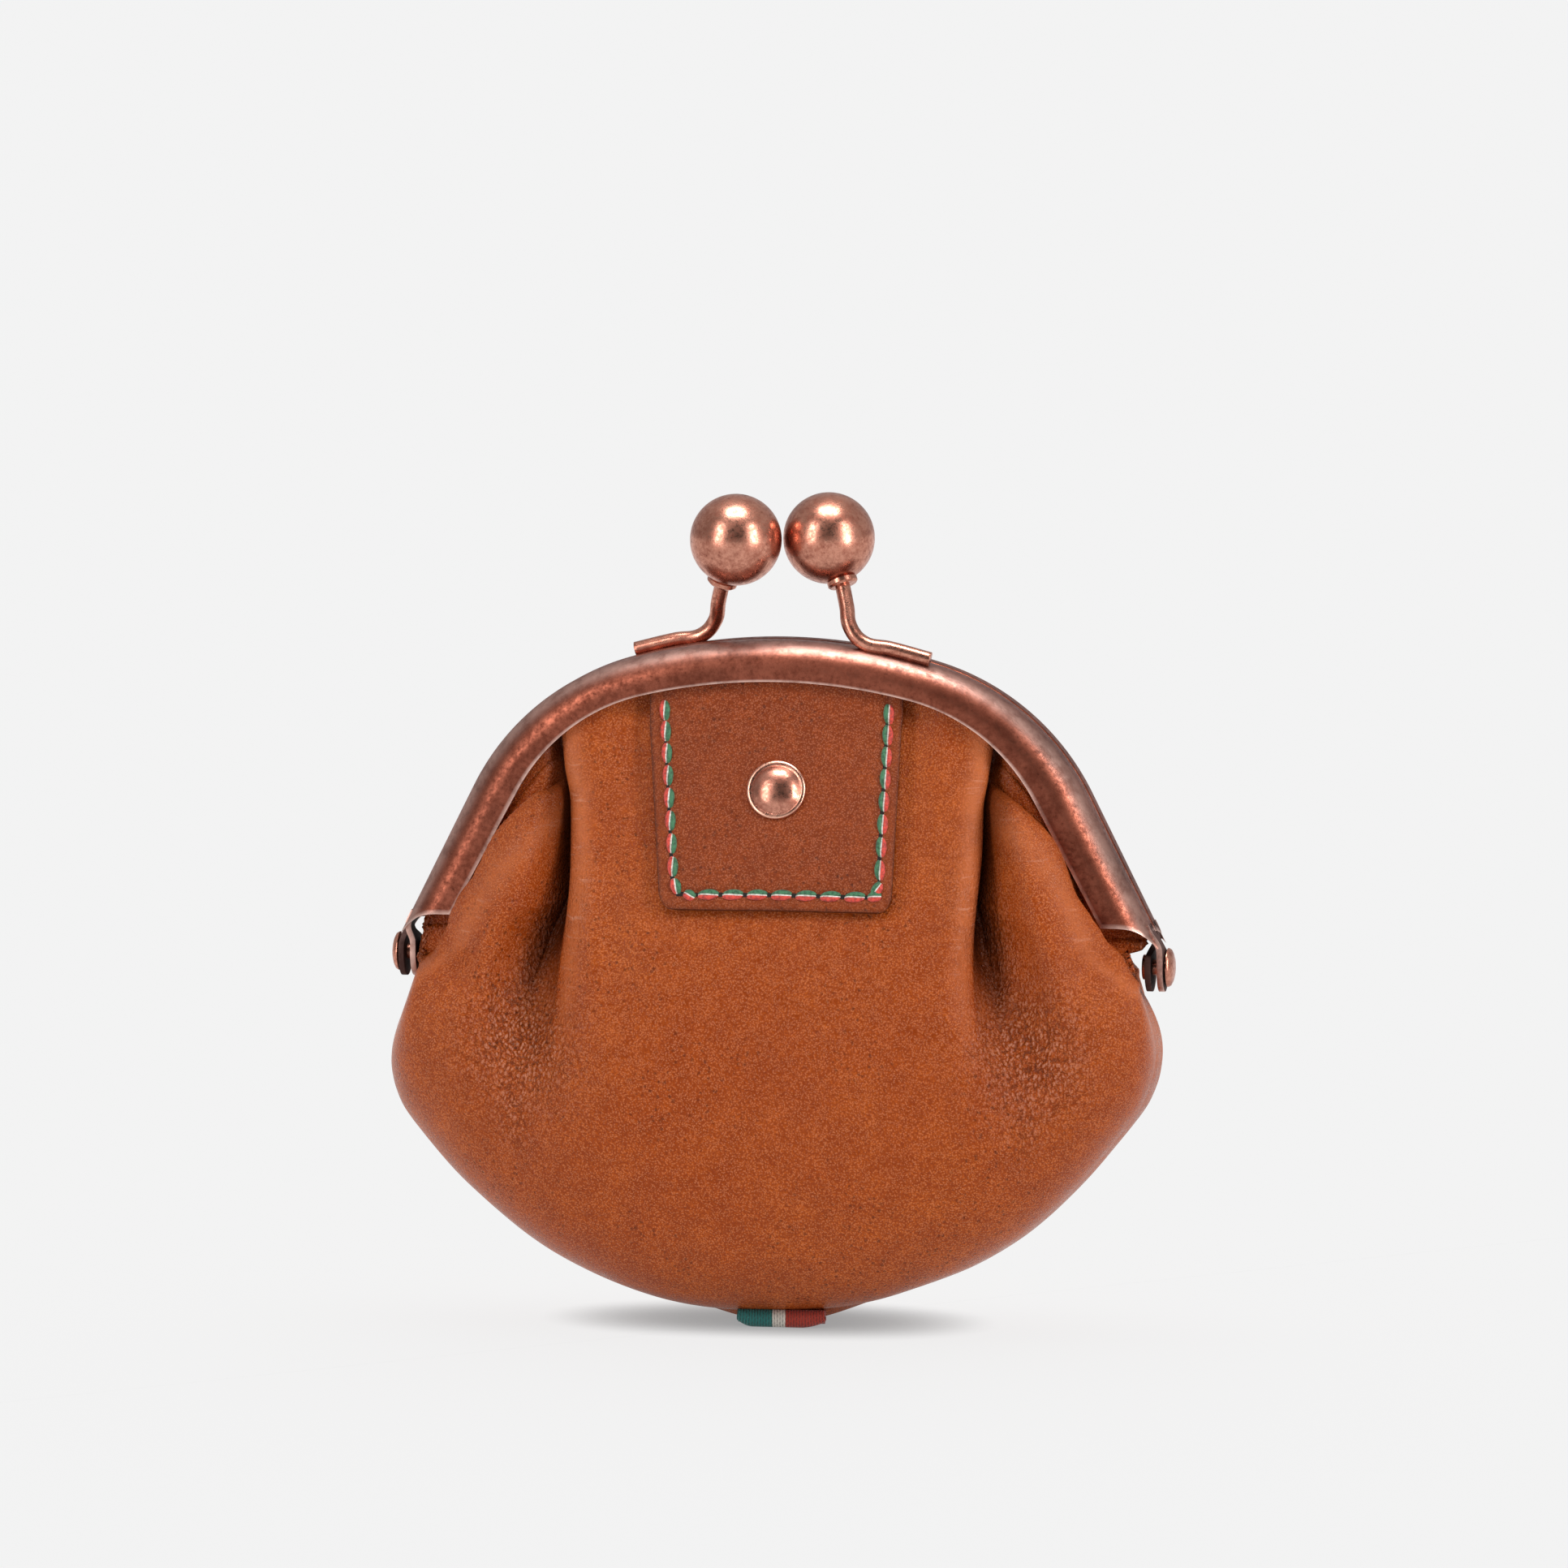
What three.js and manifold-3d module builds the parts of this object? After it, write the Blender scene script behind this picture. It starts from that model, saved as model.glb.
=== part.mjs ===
// Frame coin purse: a pleated leather pouch hung in a hinged metal frame with a ball clasp.
// Millimetres, +Z up. The front faces -Y and the origin is on the ground under the middle of the purse.
import * as THREE from 'three';
import { mergeVertices } from 'three/addons/utils/BufferGeometryUtils.js';
import Module from 'manifold-3d';

const { degToRad, lerp, smoothstep } = THREE.MathUtils;

// Clearances
const GAP = 0.3;
const HALF_GAP = GAP / 2;
const WELD = 1e-4;

// Frame: each half is a bent channel that opens inward, drawn by its outer and its inner edge
const FRAME_OUTER = {
  apex: 87.8, topRadius: 70.3, topAngle: 16.8, shoulderRadius: 31.9, legAngle: 63.5, foot: 51.2,
};
const FRAME_INNER = {
  apex: 82.8, topRadius: 72.6, topAngle: 13.8, shoulderRadius: 24.8, legAngle: 61.8, foot: 51.2,
};
const FRAME_DEPTH = 5.85;
const FRAME_SHEET = 0.7;
const FRAME_ROUND = 2.2;
const FRAME_BACK_ROUND = 0.5;
const FRAME_LIP = 0.35;
const FRAME_LIP_DROP = 0.12;
const FRAME_STATIONS = 32;
const FRAME_ROUND_STEPS = 3;

// Hinge at each foot: two ears side by side and a rivet through both
const HINGE_Z = 46.6;
const EAR_RADIUS = 3.2;
const EAR_SHEET = 0.9;
const EAR_INNER_X = 46.8;
const EAR_OUTER_X = EAR_INNER_X + EAR_SHEET + GAP;
const EAR_ROOT = { bottom: 50.4, top: 52.4, near: 0.4, far: 4.6 };
const EAR_SIDES = 16;
const RIVET = { shank: 1.0, head: 2.5, dome: 1.5, tail: 2.0, tailSheet: 0.5, sides: 12 };
const RIVET_DOME = [
  { width: 1.0, height: 0.0 },
  { width: 0.94, height: 0.45 },
  { width: 0.62, height: 0.85 },
  { width: 0.0, height: 1.0 },
];

// Ball clasp: a bent wire on each half, soldered along the frame's top, with a collar and a ball
const WIRE_RADIUS = 0.97;
const WIRE_SIDES = 8;
const WIRE_STEPS = 14;
const WIRE_ROUTE = [
  { x: 19.6, y: -3.0, z: 85.7 },
  { x: 14.5, y: -3.0, z: 87.0 },
  { x: 11.0, y: -2.9, z: 87.7 },
  { x: 9.2, y: -2.5, z: 89.6 },
  { x: 8.5, y: -1.2, z: 92.2 },
  { x: 7.4, y: 0.7, z: 95.8 },
];
const BALL = { x: 5.65, y: 2.1, z: 100.5, radius: 5.85, sides: 16, rings: 10 };
const COLLAR = { radius: 1.95, height: 1.1, sides: 12 };

// Pouch: two leather panels that start inside the frame's channel and meet in a seam all round
const LEATHER = 1.0;
const RIM_INSET = 0.45;
const NECK = 1.2;
const MOUTH_BLEND = 2.0;
const BELLY_AT = 0.66;
const SEAM_OUTLINE = [
  { half: 45.2, z: 43.6 },
  { half: 46.9, z: 42.3 },
  { half: 48.7, z: 38.2 },
  { half: 49.4, z: 34.1 },
  { half: 48.6, z: 30.0 },
  { half: 46.3, z: 26.0 },
  { half: 38.9, z: 17.7 },
  { half: 28.1, z: 9.4 },
  { half: 14.0, z: 3.6 },
  { half: 0.0, z: 2.1 },
];
const SEAM_DIVISIONS = 400;
const SAG = { shift: -1.0, lift: 1.1, from: 43.6, to: 31.0, reach: 50.0 };
const DEPTHS = [
  { across: 0.0, rim: 2.55, belly: 15.5, swell: 1.3, round: 2.9 },
  { across: 0.27, rim: 2.6, belly: 15.9, swell: 1.3, round: 2.8 },
  { across: 0.37, rim: 4.3, belly: 15.7, swell: 1.3, round: 2.7 },
  { across: 0.58, rim: 4.3, belly: 14.6, swell: 1.2, round: 2.4 },
  { across: 0.74, rim: 3.0, belly: 13.0, swell: 0.95, round: 2.3 },
  { across: 0.86, rim: 3.0, belly: 10.6, swell: 0.85, round: 2.2 },
  { across: 0.94, rim: 3.0, belly: 7.6, swell: 0.85, round: 2.1 },
  { across: 1.0, rim: 3.0, belly: 4.0, swell: 0.9, round: 2.0 },
];

// Pleat on each side: the middle of the panel laps over the side, tight at the frame and open lower down
const PLEAT = [
  { along: 0.0, ridge: 29.2, turn: 180, bend: 2.05, lap: 4.2 },
  { along: 0.05, ridge: 28.8, turn: 180, bend: 2.05, lap: 4.0 },
  { along: 0.12, ridge: 28.2, turn: 172, bend: 2.1, lap: 3.6 },
  { along: 0.25, ridge: 27.2, turn: 140, bend: 2.3, lap: 3.0 },
  { along: 0.36, ridge: 26.6, turn: 100, bend: 2.8, lap: 2.4 },
  { along: 0.5, ridge: 26.2, turn: 52, bend: 4.0, lap: 2.6 },
  { along: 0.62, ridge: 26.0, turn: 22, bend: 5.4, lap: 3.0 },
  { along: 0.76, ridge: 26.0, turn: 7, bend: 6.0, lap: 3.0 },
  { along: 1.0, ridge: 26.0, turn: 2, bend: 6.0, lap: 3.0 },
];
const PLEAT_COVER = 0.8;
const PLEAT_RECOVERY = 12.0;
const PLEAT_RECOVERY_SHARE = 0.8;
const MIDDLE_COLUMNS = [0, 0.3, 0.58, 0.8];
const BEND_COLUMNS = 3;
const SIDE_COLUMNS = 9;
const UPPER_ROWS = 11;
const LOWER_ROWS = 7;

// Spacing of rows and columns: above 1 they crowd toward the start, below 1 toward the end
const UPPER_CROWDING = 1.15;
const LOWER_CROWDING = 0.8;
const SIDE_CROWDING = 1.05;

// Back panel: it sags behind the seam and lies flat on the ground there
const BACK_SAG = { drop: 4.6, halfWidth: 34.0, from: 0.1, to: 0.85 };

// Tab: a stiffer strap of leather sewn into the frame over the middle of the front panel
const TAB = { topHalf: 16.1, bottomHalf: 14.7, topInset: 0.3, bottom: 54.4, thickness: 1.2, lift: 0.45 };
const TAB_CORNER = { radius: 2.0, middle: 0.3 };
const TAB_COLUMNS = 10;
const TAB_ROWS = 8;

// Stud: a plain round dome in the middle of the tab
const STUD = { z: 68.5, radius: 3.8, rim: 0.35, dome: 1.25, sides: 16, rings: 5, probe: 1.5 };

// Ribbon: a short folded tag that comes out under the bottom seam and lies on the ground
const RIBBON = { width: 11.2, thickness: 1.3, front: -7.2, back: 0.5, leftCorner: 2.4, rightCorner: 1.0 };
const RIBBON_EDGE = 0.4;
const RIBBON_EDGE_STEPS = 2;
const RIBBON_CORNER_STEPS = 5;

const wasm = await Module();
wasm.setup();

// A closed geometry from points and triangles
function solid(points, triangles) {
  const geometry = new THREE.BufferGeometry();
  geometry.setFromPoints(points);
  geometry.setIndex(triangles);
  return geometry;
}

// The same geometry as a body for joining and cutting
function toBody(geometry) {
  const bare = geometry.clone();
  bare.deleteAttribute('normal');
  bare.deleteAttribute('uv');
  const merged = mergeVertices(bare, WELD);
  const vertProperties = merged.attributes.position.array;
  const triVerts = new Uint32Array(merged.index.array);
  return new wasm.Manifold(new wasm.Mesh({ numProp: 3, vertProperties, triVerts }));
}

function toGeometry(body) {
  const mesh = body.getMesh();
  const geometry = new THREE.BufferGeometry();
  geometry.setAttribute('position', new THREE.BufferAttribute(mesh.vertProperties, 3));
  geometry.setIndex(new THREE.BufferAttribute(mesh.triVerts, 1));
  return geometry;
}

function fuse(geometries) {
  const bodies = geometries.map(toBody);
  return bodies.reduce((whole, body) => whole.add(body));
}

// A body between rings of points that are joined in turn, with both ends capped
function loft(rings, profile) {
  const count = profile.length;
  const triangles = [];
  for (let ring = 0; ring + 1 < rings.length; ring += 1) {
    for (let at = 0; at < count; at += 1) {
      const next = (at + 1) % count;
      const a = ring * count + at;
      const b = ring * count + next;
      triangles.push(a, b, a + count, b, b + count, a + count);
    }
  }
  const last = (rings.length - 1) * count;
  const clockwise = THREE.ShapeUtils.isClockWise(profile);
  for (const face of THREE.ShapeUtils.triangulateShape(profile, [])) {
    const [a, b, c] = clockwise ? face.toReversed() : face;
    triangles.push(c, b, a, last + a, last + b, last + c);
  }
  return solid(rings.flat(), triangles);
}

// A wall between two grids of points of the same size, closed along its four edges
function wall(outer, inner) {
  const rows = outer.length;
  const columns = outer[0].length;
  const offset = rows * columns;
  const triangles = [];
  const quad = (a, b, c, d) => triangles.push(a, b, c, a, c, d);
  for (let row = 0; row + 1 < rows; row += 1) {
    for (let column = 0; column + 1 < columns; column += 1) {
      const a = row * columns + column;
      quad(a, a + columns, a + columns + 1, a + 1);
      quad(offset + a, offset + a + 1, offset + a + columns + 1, offset + a + columns);
    }
  }
  const border = [];
  for (let column = 0; column < columns; column += 1) border.push(column);
  for (let row = 1; row < rows; row += 1) border.push(row * columns + columns - 1);
  for (let column = columns - 2; column >= 0; column -= 1) border.push((rows - 1) * columns + column);
  for (let row = rows - 2; row >= 1; row -= 1) border.push(row * columns);
  border.forEach((from, at) => {
    const to = border[(at + 1) % border.length];
    quad(from, to, offset + to, offset + from);
  });
  return solid([...outer.flat(), ...inner.flat()], triangles);
}

// The slope of a smooth curve through a table's rows at one row, level at a peak so that it never overshoots
function slopeAt(table, key, column, row) {
  if (row === 0 || row === table.length - 1) return 0;
  const [before, here, after] = [table[row - 1], table[row], table[row + 1]];
  const rise = (here[column] - before[column]) / (here[key] - before[key]);
  const next = (after[column] - here[column]) / (after[key] - here[key]);
  return rise * next > 0 ? (2 * rise * next) / (rise + next) : 0;
}

// The value of one column of a table at a place between its rows
function read(table, key, column, place) {
  const above = table.findIndex((row) => row[key] >= place);
  if (above <= 0) return table[above < 0 ? table.length - 1 : 0][column];
  const [low, high] = [table[above - 1], table[above]];
  const width = high[key] - low[key];
  const share = (place - low[key]) / width;
  const leaving = slopeAt(table, key, column, above - 1) * width * share * (1 - share) ** 2;
  const arriving = slopeAt(table, key, column, above) * width * share ** 2 * (share - 1);
  return lerp(low[column], high[column], share * share * (3 - 2 * share)) + leaving + arriving;
}

// An arch of a top arc, two shoulder arcs and two straight legs, read from its left foot (-1) to its right
class Arch {
  constructor(edge) {
    const top = degToRad(edge.topAngle);
    const leg = degToRad(edge.legAngle);
    this.edge = edge;
    this.top = top;
    this.leg = leg;
    this.topLength = edge.topRadius * top;
    this.shoulderLength = edge.shoulderRadius * (leg - top);
    this.shoulderX = (edge.topRadius - edge.shoulderRadius) * Math.sin(top);
    this.topZ = edge.apex - edge.topRadius;
    this.shoulderZ = this.topZ + (edge.topRadius - edge.shoulderRadius) * Math.cos(top);
    this.kneeX = this.shoulderX + edge.shoulderRadius * Math.sin(leg);
    this.kneeZ = this.shoulderZ + edge.shoulderRadius * Math.cos(leg);
    this.legLength = (this.kneeZ - edge.foot) / Math.sin(leg);
    this.half = this.topLength + this.shoulderLength + this.legLength;
  }

  point(at) {
    const side = Math.sign(at);
    const run = Math.abs(at) * this.half;
    if (run <= this.topLength) {
      const angle = run / this.edge.topRadius;
      const radius = this.edge.topRadius;
      return new THREE.Vector3(side * radius * Math.sin(angle), 0, this.topZ + radius * Math.cos(angle));
    }
    if (run <= this.topLength + this.shoulderLength) {
      const radius = this.edge.shoulderRadius;
      const angle = this.top + (run - this.topLength) / radius;
      const x = this.shoulderX + radius * Math.sin(angle);
      return new THREE.Vector3(side * x, 0, this.shoulderZ + radius * Math.cos(angle));
    }
    const down = run - this.topLength - this.shoulderLength;
    const x = this.kneeX + down * Math.cos(this.leg);
    return new THREE.Vector3(side * x, 0, this.kneeZ - down * Math.sin(this.leg));
  }
}

const outerArch = new Arch(FRAME_OUTER);
const innerArch = new Arch(FRAME_INNER);

// The channel's section: inward from the outer edge (x) and forward from the middle plane (y)
function channelSection(width) {
  const section = [];
  const add = (inward, forward) => section.push(new THREE.Vector2(inward, forward));
  const round = (radius, from, to) => {
    for (let step = 0; step <= FRAME_ROUND_STEPS; step += 1) {
      const angle = lerp(from, to, step / FRAME_ROUND_STEPS);
      add(FRAME_ROUND - radius * Math.cos(angle), FRAME_DEPTH - FRAME_ROUND + radius * Math.sin(angle));
    }
  };
  add(width, HALF_GAP);
  add(FRAME_BACK_ROUND, HALF_GAP);
  add(0, HALF_GAP + FRAME_BACK_ROUND);
  round(FRAME_ROUND, 0, Math.PI / 2);
  add(width - FRAME_LIP, FRAME_DEPTH - FRAME_LIP_DROP);
  add(width, FRAME_DEPTH - FRAME_LIP);
  add(width, FRAME_DEPTH - FRAME_SHEET);
  round(FRAME_ROUND - FRAME_SHEET, Math.PI / 2, 0);
  add(FRAME_SHEET, HALF_GAP + FRAME_SHEET);
  add(width, HALF_GAP + FRAME_SHEET);
  return section;
}

function channel() {
  const rings = [];
  for (let station = 0; station <= FRAME_STATIONS; station += 1) {
    const at = lerp(-1, 1, station / FRAME_STATIONS);
    const outer = outerArch.point(at);
    const inward = innerArch.point(at).sub(outer);
    const width = inward.length();
    inward.normalize();
    const place = (corner) => outer.clone().addScaledVector(inward, corner.x).setY(-corner.y);
    rings.push(channelSection(width).map(place));
  }
  return loft(rings, channelSection(FRAME_OUTER.apex - FRAME_INNER.apex));
}

// A plate with its disc on the hinge axis, from x to x + EAR_SHEET, and the root that joins it to the foot
function ear(x, side) {
  const neck = new THREE.Shape();
  neck.moveTo(EAR_ROOT.near, EAR_ROOT.top);
  neck.lineTo(EAR_ROOT.far, EAR_ROOT.top);
  neck.lineTo(EAR_RADIUS - HALF_GAP, HINGE_Z);
  neck.lineTo(EAR_ROOT.near, HINGE_Z);
  const plate = new THREE.ExtrudeGeometry(neck, { depth: EAR_SHEET, bevelEnabled: false });
  const turn = new THREE.Matrix4().makeBasis(
    new THREE.Vector3(0, -1, 0),
    new THREE.Vector3(0, 0, 1),
    new THREE.Vector3(-1, 0, 0),
  );
  plate.applyMatrix4(turn);
  plate.translate(x + EAR_SHEET, 0, 0);
  const disc = new THREE.CylinderGeometry(EAR_RADIUS, EAR_RADIUS, EAR_SHEET, EAR_SIDES);
  disc.rotateZ(Math.PI / 2);
  disc.translate(x + EAR_SHEET / 2, 0, HINGE_Z);
  const rootWidth = x + EAR_SHEET - EAR_INNER_X;
  const rootDepth = EAR_ROOT.far - EAR_ROOT.near;
  const root = new THREE.BoxGeometry(rootWidth, rootDepth, EAR_ROOT.top - EAR_ROOT.bottom);
  root.translate(
    EAR_INNER_X + rootWidth / 2,
    -(EAR_ROOT.near + EAR_ROOT.far) / 2,
    (EAR_ROOT.bottom + EAR_ROOT.top) / 2,
  );
  const bore = new THREE.CylinderGeometry(RIVET.shank + GAP, RIVET.shank + GAP, EAR_SHEET * 3, RIVET.sides);
  bore.rotateZ(Math.PI / 2);
  bore.translate(x + EAR_SHEET / 2, 0, HINGE_Z);
  const body = fuse([plate, disc, root]).subtract(toBody(bore));
  return side > 0 ? body : body.mirror([1, 0, 0]);
}

// The clasp's wire, its collar and its ball
function clasp() {
  const stops = WIRE_ROUTE.map((stop) => new THREE.Vector3(stop.x, stop.y, stop.z));
  const route = new THREE.CatmullRomCurve3(stops);
  const ring = new THREE.Shape();
  for (let side = 0; side < WIRE_SIDES; side += 1) {
    const angle = (2 * Math.PI * side) / WIRE_SIDES;
    const corner = [WIRE_RADIUS * Math.cos(angle), WIRE_RADIUS * Math.sin(angle)];
    if (side === 0) ring.moveTo(...corner);
    else ring.lineTo(...corner);
  }
  ring.closePath();
  const wire = new THREE.ExtrudeGeometry(ring, { steps: WIRE_STEPS, extrudePath: route });
  const centre = new THREE.Vector3(BALL.x, BALL.y, BALL.z);
  const ball = new THREE.SphereGeometry(BALL.radius, BALL.sides, BALL.rings);
  ball.rotateX(Math.PI / 2);
  ball.translate(centre.x, centre.y, centre.z);
  const end = route.getPoint(1);
  const outward = end.clone().sub(centre).normalize();
  const collar = new THREE.CylinderGeometry(COLLAR.radius, COLLAR.radius, COLLAR.height, COLLAR.sides);
  collar.applyQuaternion(new THREE.Quaternion().setFromUnitVectors(new THREE.Vector3(0, 1, 0), outward));
  const seat = centre.addScaledVector(outward, BALL.radius);
  collar.translate(seat.x, seat.y, seat.z);
  return fuse([wire, ball, collar]);
}

// Half of the frame: channel, one outer ear, one inner ear and its clasp, all soldered into one piece
function frameHalf() {
  const whole = toBody(channel()).add(ear(EAR_OUTER_X, 1)).add(ear(EAR_INNER_X, -1)).add(clasp());
  return toGeometry(whole);
}

// A rivet through both ears on the right, with a domed head outside and a flat tail inside
function rivet() {
  const tailEnd = EAR_INNER_X - GAP - RIVET.tailSheet;
  const headStart = EAR_OUTER_X + EAR_SHEET + GAP;
  const profile = [
    new THREE.Vector2(0, tailEnd),
    new THREE.Vector2(RIVET.tail, tailEnd),
    new THREE.Vector2(RIVET.tail, tailEnd + RIVET.tailSheet),
    new THREE.Vector2(RIVET.shank, tailEnd + RIVET.tailSheet),
    new THREE.Vector2(RIVET.shank, headStart),
    ...RIVET_DOME.map(({ width, height }) => (
      new THREE.Vector2(RIVET.head * width, headStart + RIVET.dome * height)
    )),
  ];
  const geometry = new THREE.LatheGeometry(profile, RIVET.sides);
  geometry.rotateZ(-Math.PI / 2);
  geometry.translate(0, 0, HINGE_Z);
  return mergeVertices(geometry);
}

// The seam's outline, from the left hinge round the bottom to the right one, sagging a little to one side
function seamCurve() {
  const right = SEAM_OUTLINE.map((row) => new THREE.Vector2(row.half, row.z)).reverse();
  const left = SEAM_OUTLINE.slice(0, -1).map((row) => new THREE.Vector2(-row.half, row.z));
  const sagged = [...left, ...right].map((corner) => {
    const share = smoothstep(SAG.from - corner.y, 0, SAG.from - SAG.to);
    const lift = (SAG.lift * corner.x) / SAG.reach;
    return new THREE.Vector2(corner.x + share * SAG.shift, corner.y + share * lift);
  });
  return new THREE.SplineCurve(sagged);
}

const seam = seamCurve();
seam.arcLengthDivisions = SEAM_DIVISIONS;
const seamHalf = seam.getLength() / 2;

function rimPoint(across) {
  return innerArch.point(across).lerp(outerArch.point(across), RIM_INSET);
}

const rimHalf = innerArch.half + (outerArch.half - innerArch.half) * RIM_INSET;

function rowHalf(along) {
  return lerp(rimHalf, seamHalf, along);
}

// How far a place on the panel is past the mouth of the channel that holds its rim
function pastMouth(point, across) {
  const mouth = innerArch.point(across);
  const inward = mouth.clone().sub(outerArch.point(across)).normalize();
  const past = point.clone().sub(mouth).dot(inward);
  const below = FRAME_INNER.foot - point.z;
  return (past + below + Math.hypot(past - below, MOUTH_BLEND)) / 2;
}

// The unpleated front panel's middle surface: across from -1 to 1, along from the rim (0) to the seam (1)
function panelPoint(across, along) {
  const rim = rimPoint(across);
  const low = seam.getPointAt((across + 1) / 2);
  const foot = new THREE.Vector3(low.x, 0, low.y);
  const place = Math.abs(across);
  const rimDepth = read(DEPTHS, 'across', 'rim', place);
  const bellyDepth = read(DEPTHS, 'across', 'belly', place);
  const point = rim.clone().lerp(foot, along);
  if (along <= BELLY_AT) {
    const full = pastMouth(rim.clone().lerp(foot, BELLY_AT), across) - NECK;
    const share = Math.max(0, (pastMouth(point, across) - NECK) / full);
    const swell = read(DEPTHS, 'across', 'swell', place);
    point.y = -lerp(rimDepth, bellyDepth, Math.sin((share * Math.PI) / 2) ** swell);
  } else {
    const power = read(DEPTHS, 'across', 'round', place);
    const share = Math.min(1, (along - BELLY_AT) / (1 - BELLY_AT));
    point.y = -Math.max(HALF_GAP, bellyDepth * (1 - share ** power) ** (1 / power));
  }
  return point;
}

// Places of the rows: even down to the belly, then crowded toward the seam as a rounded edge needs
function rowPlaces() {
  const places = [];
  for (let row = 0; row < UPPER_ROWS; row += 1) {
    places.push(BELLY_AT * (row / UPPER_ROWS) ** UPPER_CROWDING);
  }
  for (let row = 0; row <= LOWER_ROWS; row += 1) {
    const angle = (Math.PI / 2) * (row / LOWER_ROWS);
    places.push(lerp(BELLY_AT, 1, Math.sin(angle) ** LOWER_CROWDING));
  }
  return places;
}

// One row from the middle to the right edge: how far along it each column is, and how far it is set back
function pleatRow(along) {
  const ridge = read(PLEAT, 'along', 'ridge', along);
  const turn = degToRad(read(PLEAT, 'along', 'turn', along));
  const lap = read(PLEAT, 'along', 'lap', along);
  const radius = read(PLEAT, 'along', 'bend', along) / turn;
  const start = ridge - radius * Math.sin(Math.min(turn, Math.PI / 2));
  const row = [];
  for (const share of MIDDLE_COLUMNS) row.push({ run: start * share, back: 0 });
  for (let column = 0; column <= BEND_COLUMNS; column += 1) {
    const angle = (turn * column) / BEND_COLUMNS;
    row.push({ run: start + radius * Math.sin(angle), back: radius * (1 - Math.cos(angle)) });
  }
  const bend = row[row.length - 1];
  const low = { run: bend.run + lap * Math.cos(turn), back: bend.back + lap * Math.sin(turn) };
  for (let column = 0; column <= BEND_COLUMNS; column += 1) {
    const angle = turn * (1 - column / BEND_COLUMNS);
    row.push({
      run: low.run + radius * (Math.sin(turn) - Math.sin(angle)),
      back: low.back + radius * (Math.cos(angle) - Math.cos(turn)),
    });
  }
  const end = row[row.length - 1];
  const half = rowHalf(along);
  const clear = Math.max(end.run, ridge + PLEAT_COVER);
  const reach = Math.min(PLEAT_RECOVERY, (half - clear) * PLEAT_RECOVERY_SHARE);
  for (let column = 1; column <= SIDE_COLUMNS; column += 1) {
    const run = lerp(end.run, half, (column / SIDE_COLUMNS) ** SIDE_CROWDING);
    row.push({ run, back: end.back * (1 - smoothstep(run - clear, 0, reach)) });
  }
  return row;
}

// The pleated middle surface as a grid of points
function panelGrid() {
  return rowPlaces().map((along) => {
    const half = rowHalf(along);
    const right = pleatRow(along);
    const left = right.slice(1).reverse().map(({ run, back }) => ({ run: -run, back }));
    return [...left, ...right].map(({ run, back }) => {
      const point = panelPoint(THREE.MathUtils.clamp(run / half, -1, 1), along);
      point.y = Math.min(-HALF_GAP, point.y + back);
      return point;
    });
  });
}

// The direction out of the leather at each point of a grid
function gridNormals(grid) {
  const lastRow = grid.length - 1;
  const lastColumn = grid[0].length - 1;
  return grid.map((line, row) => line.map((point, column) => {
    const along = grid[Math.min(row + 1, lastRow)][column].clone().sub(grid[Math.max(row - 1, 0)][column]);
    const across = line[Math.min(column + 1, lastColumn)].clone().sub(line[Math.max(column - 1, 0)]);
    return along.cross(across).normalize();
  }));
}

// One leather panel: the grid made as thick as the leather
function panel(grid, floor) {
  const normals = gridNormals(grid);
  normals[normals.length - 1].forEach((normal) => normal.setY(0).normalize());
  const shell = (side, lowest) => grid.map((line, row) => line.map((point, column) => {
    const moved = point.clone().addScaledVector(normals[row][column], (side * LEATHER) / 2);
    moved.z = Math.max(moved.z, lowest);
    return moved;
  }));
  return wall(shell(1, floor), shell(-1, floor + LEATHER));
}

// The back panel before it is turned round: it hangs lower than the seam and meets the ground
function backGrid() {
  const places = rowPlaces();
  return panelGrid().map((line, row) => line.map((point) => {
    const share = (places[row] - BELLY_AT) / (1 - BELLY_AT);
    const low = smoothstep(share, BACK_SAG.from, BACK_SAG.to) * (row === places.length - 1 ? 0 : 1);
    const middle = 1 - smoothstep(Math.abs(point.x), 0, BACK_SAG.halfWidth);
    return point.clone().setZ(point.z - BACK_SAG.drop * low * middle);
  }));
}

// The same grid behind the middle plane, with its columns in order again
function turnedBack(grid) {
  return grid.map((line) => line.map((point) => point.clone().setY(-point.y)).reverse());
}

// The tab follows the front panel at a small gap, hangs straight and has rounded lower corners
function tab() {
  const top = rimPoint(0).z;
  const drop = top - seam.getPointAt(0.5).y;
  const end = (top - TAB.bottom) / drop;
  const corner = TAB_CORNER.radius / drop;
  const places = [];
  for (let row = 0; row <= TAB_ROWS; row += 1) {
    places.push(lerp(TAB.topInset / drop, end - corner, row / TAB_ROWS));
  }
  places.push(end - corner * TAB_CORNER.middle, end);
  const grid = places.map((along) => {
    const half = lerp(TAB.topHalf, TAB.bottomHalf, along / end);
    const inCorner = Math.max(0, 1 - (end - along) / corner);
    const cut = TAB_CORNER.radius * (1 - Math.sqrt(Math.max(0, 1 - inCorner * inCorner)));
    const middle = panelPoint(0, along).x;
    const line = [];
    for (let column = 0; column <= TAB_COLUMNS; column += 1) {
      const share = lerp(-1, 1, column / TAB_COLUMNS);
      const point = panelPoint((share * (half - cut)) / rowHalf(along), along);
      line.push(point.setX(point.x - middle));
    }
    return line;
  });
  const normals = gridNormals(grid);
  const lift = LEATHER / 2 + TAB.lift;
  const shell = (height) => grid.map((line, row) => line.map((point, column) => (
    point.clone().addScaledVector(normals[row][column], height)
  )));
  return wall(shell(lift + TAB.thickness), shell(lift));
}

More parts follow.
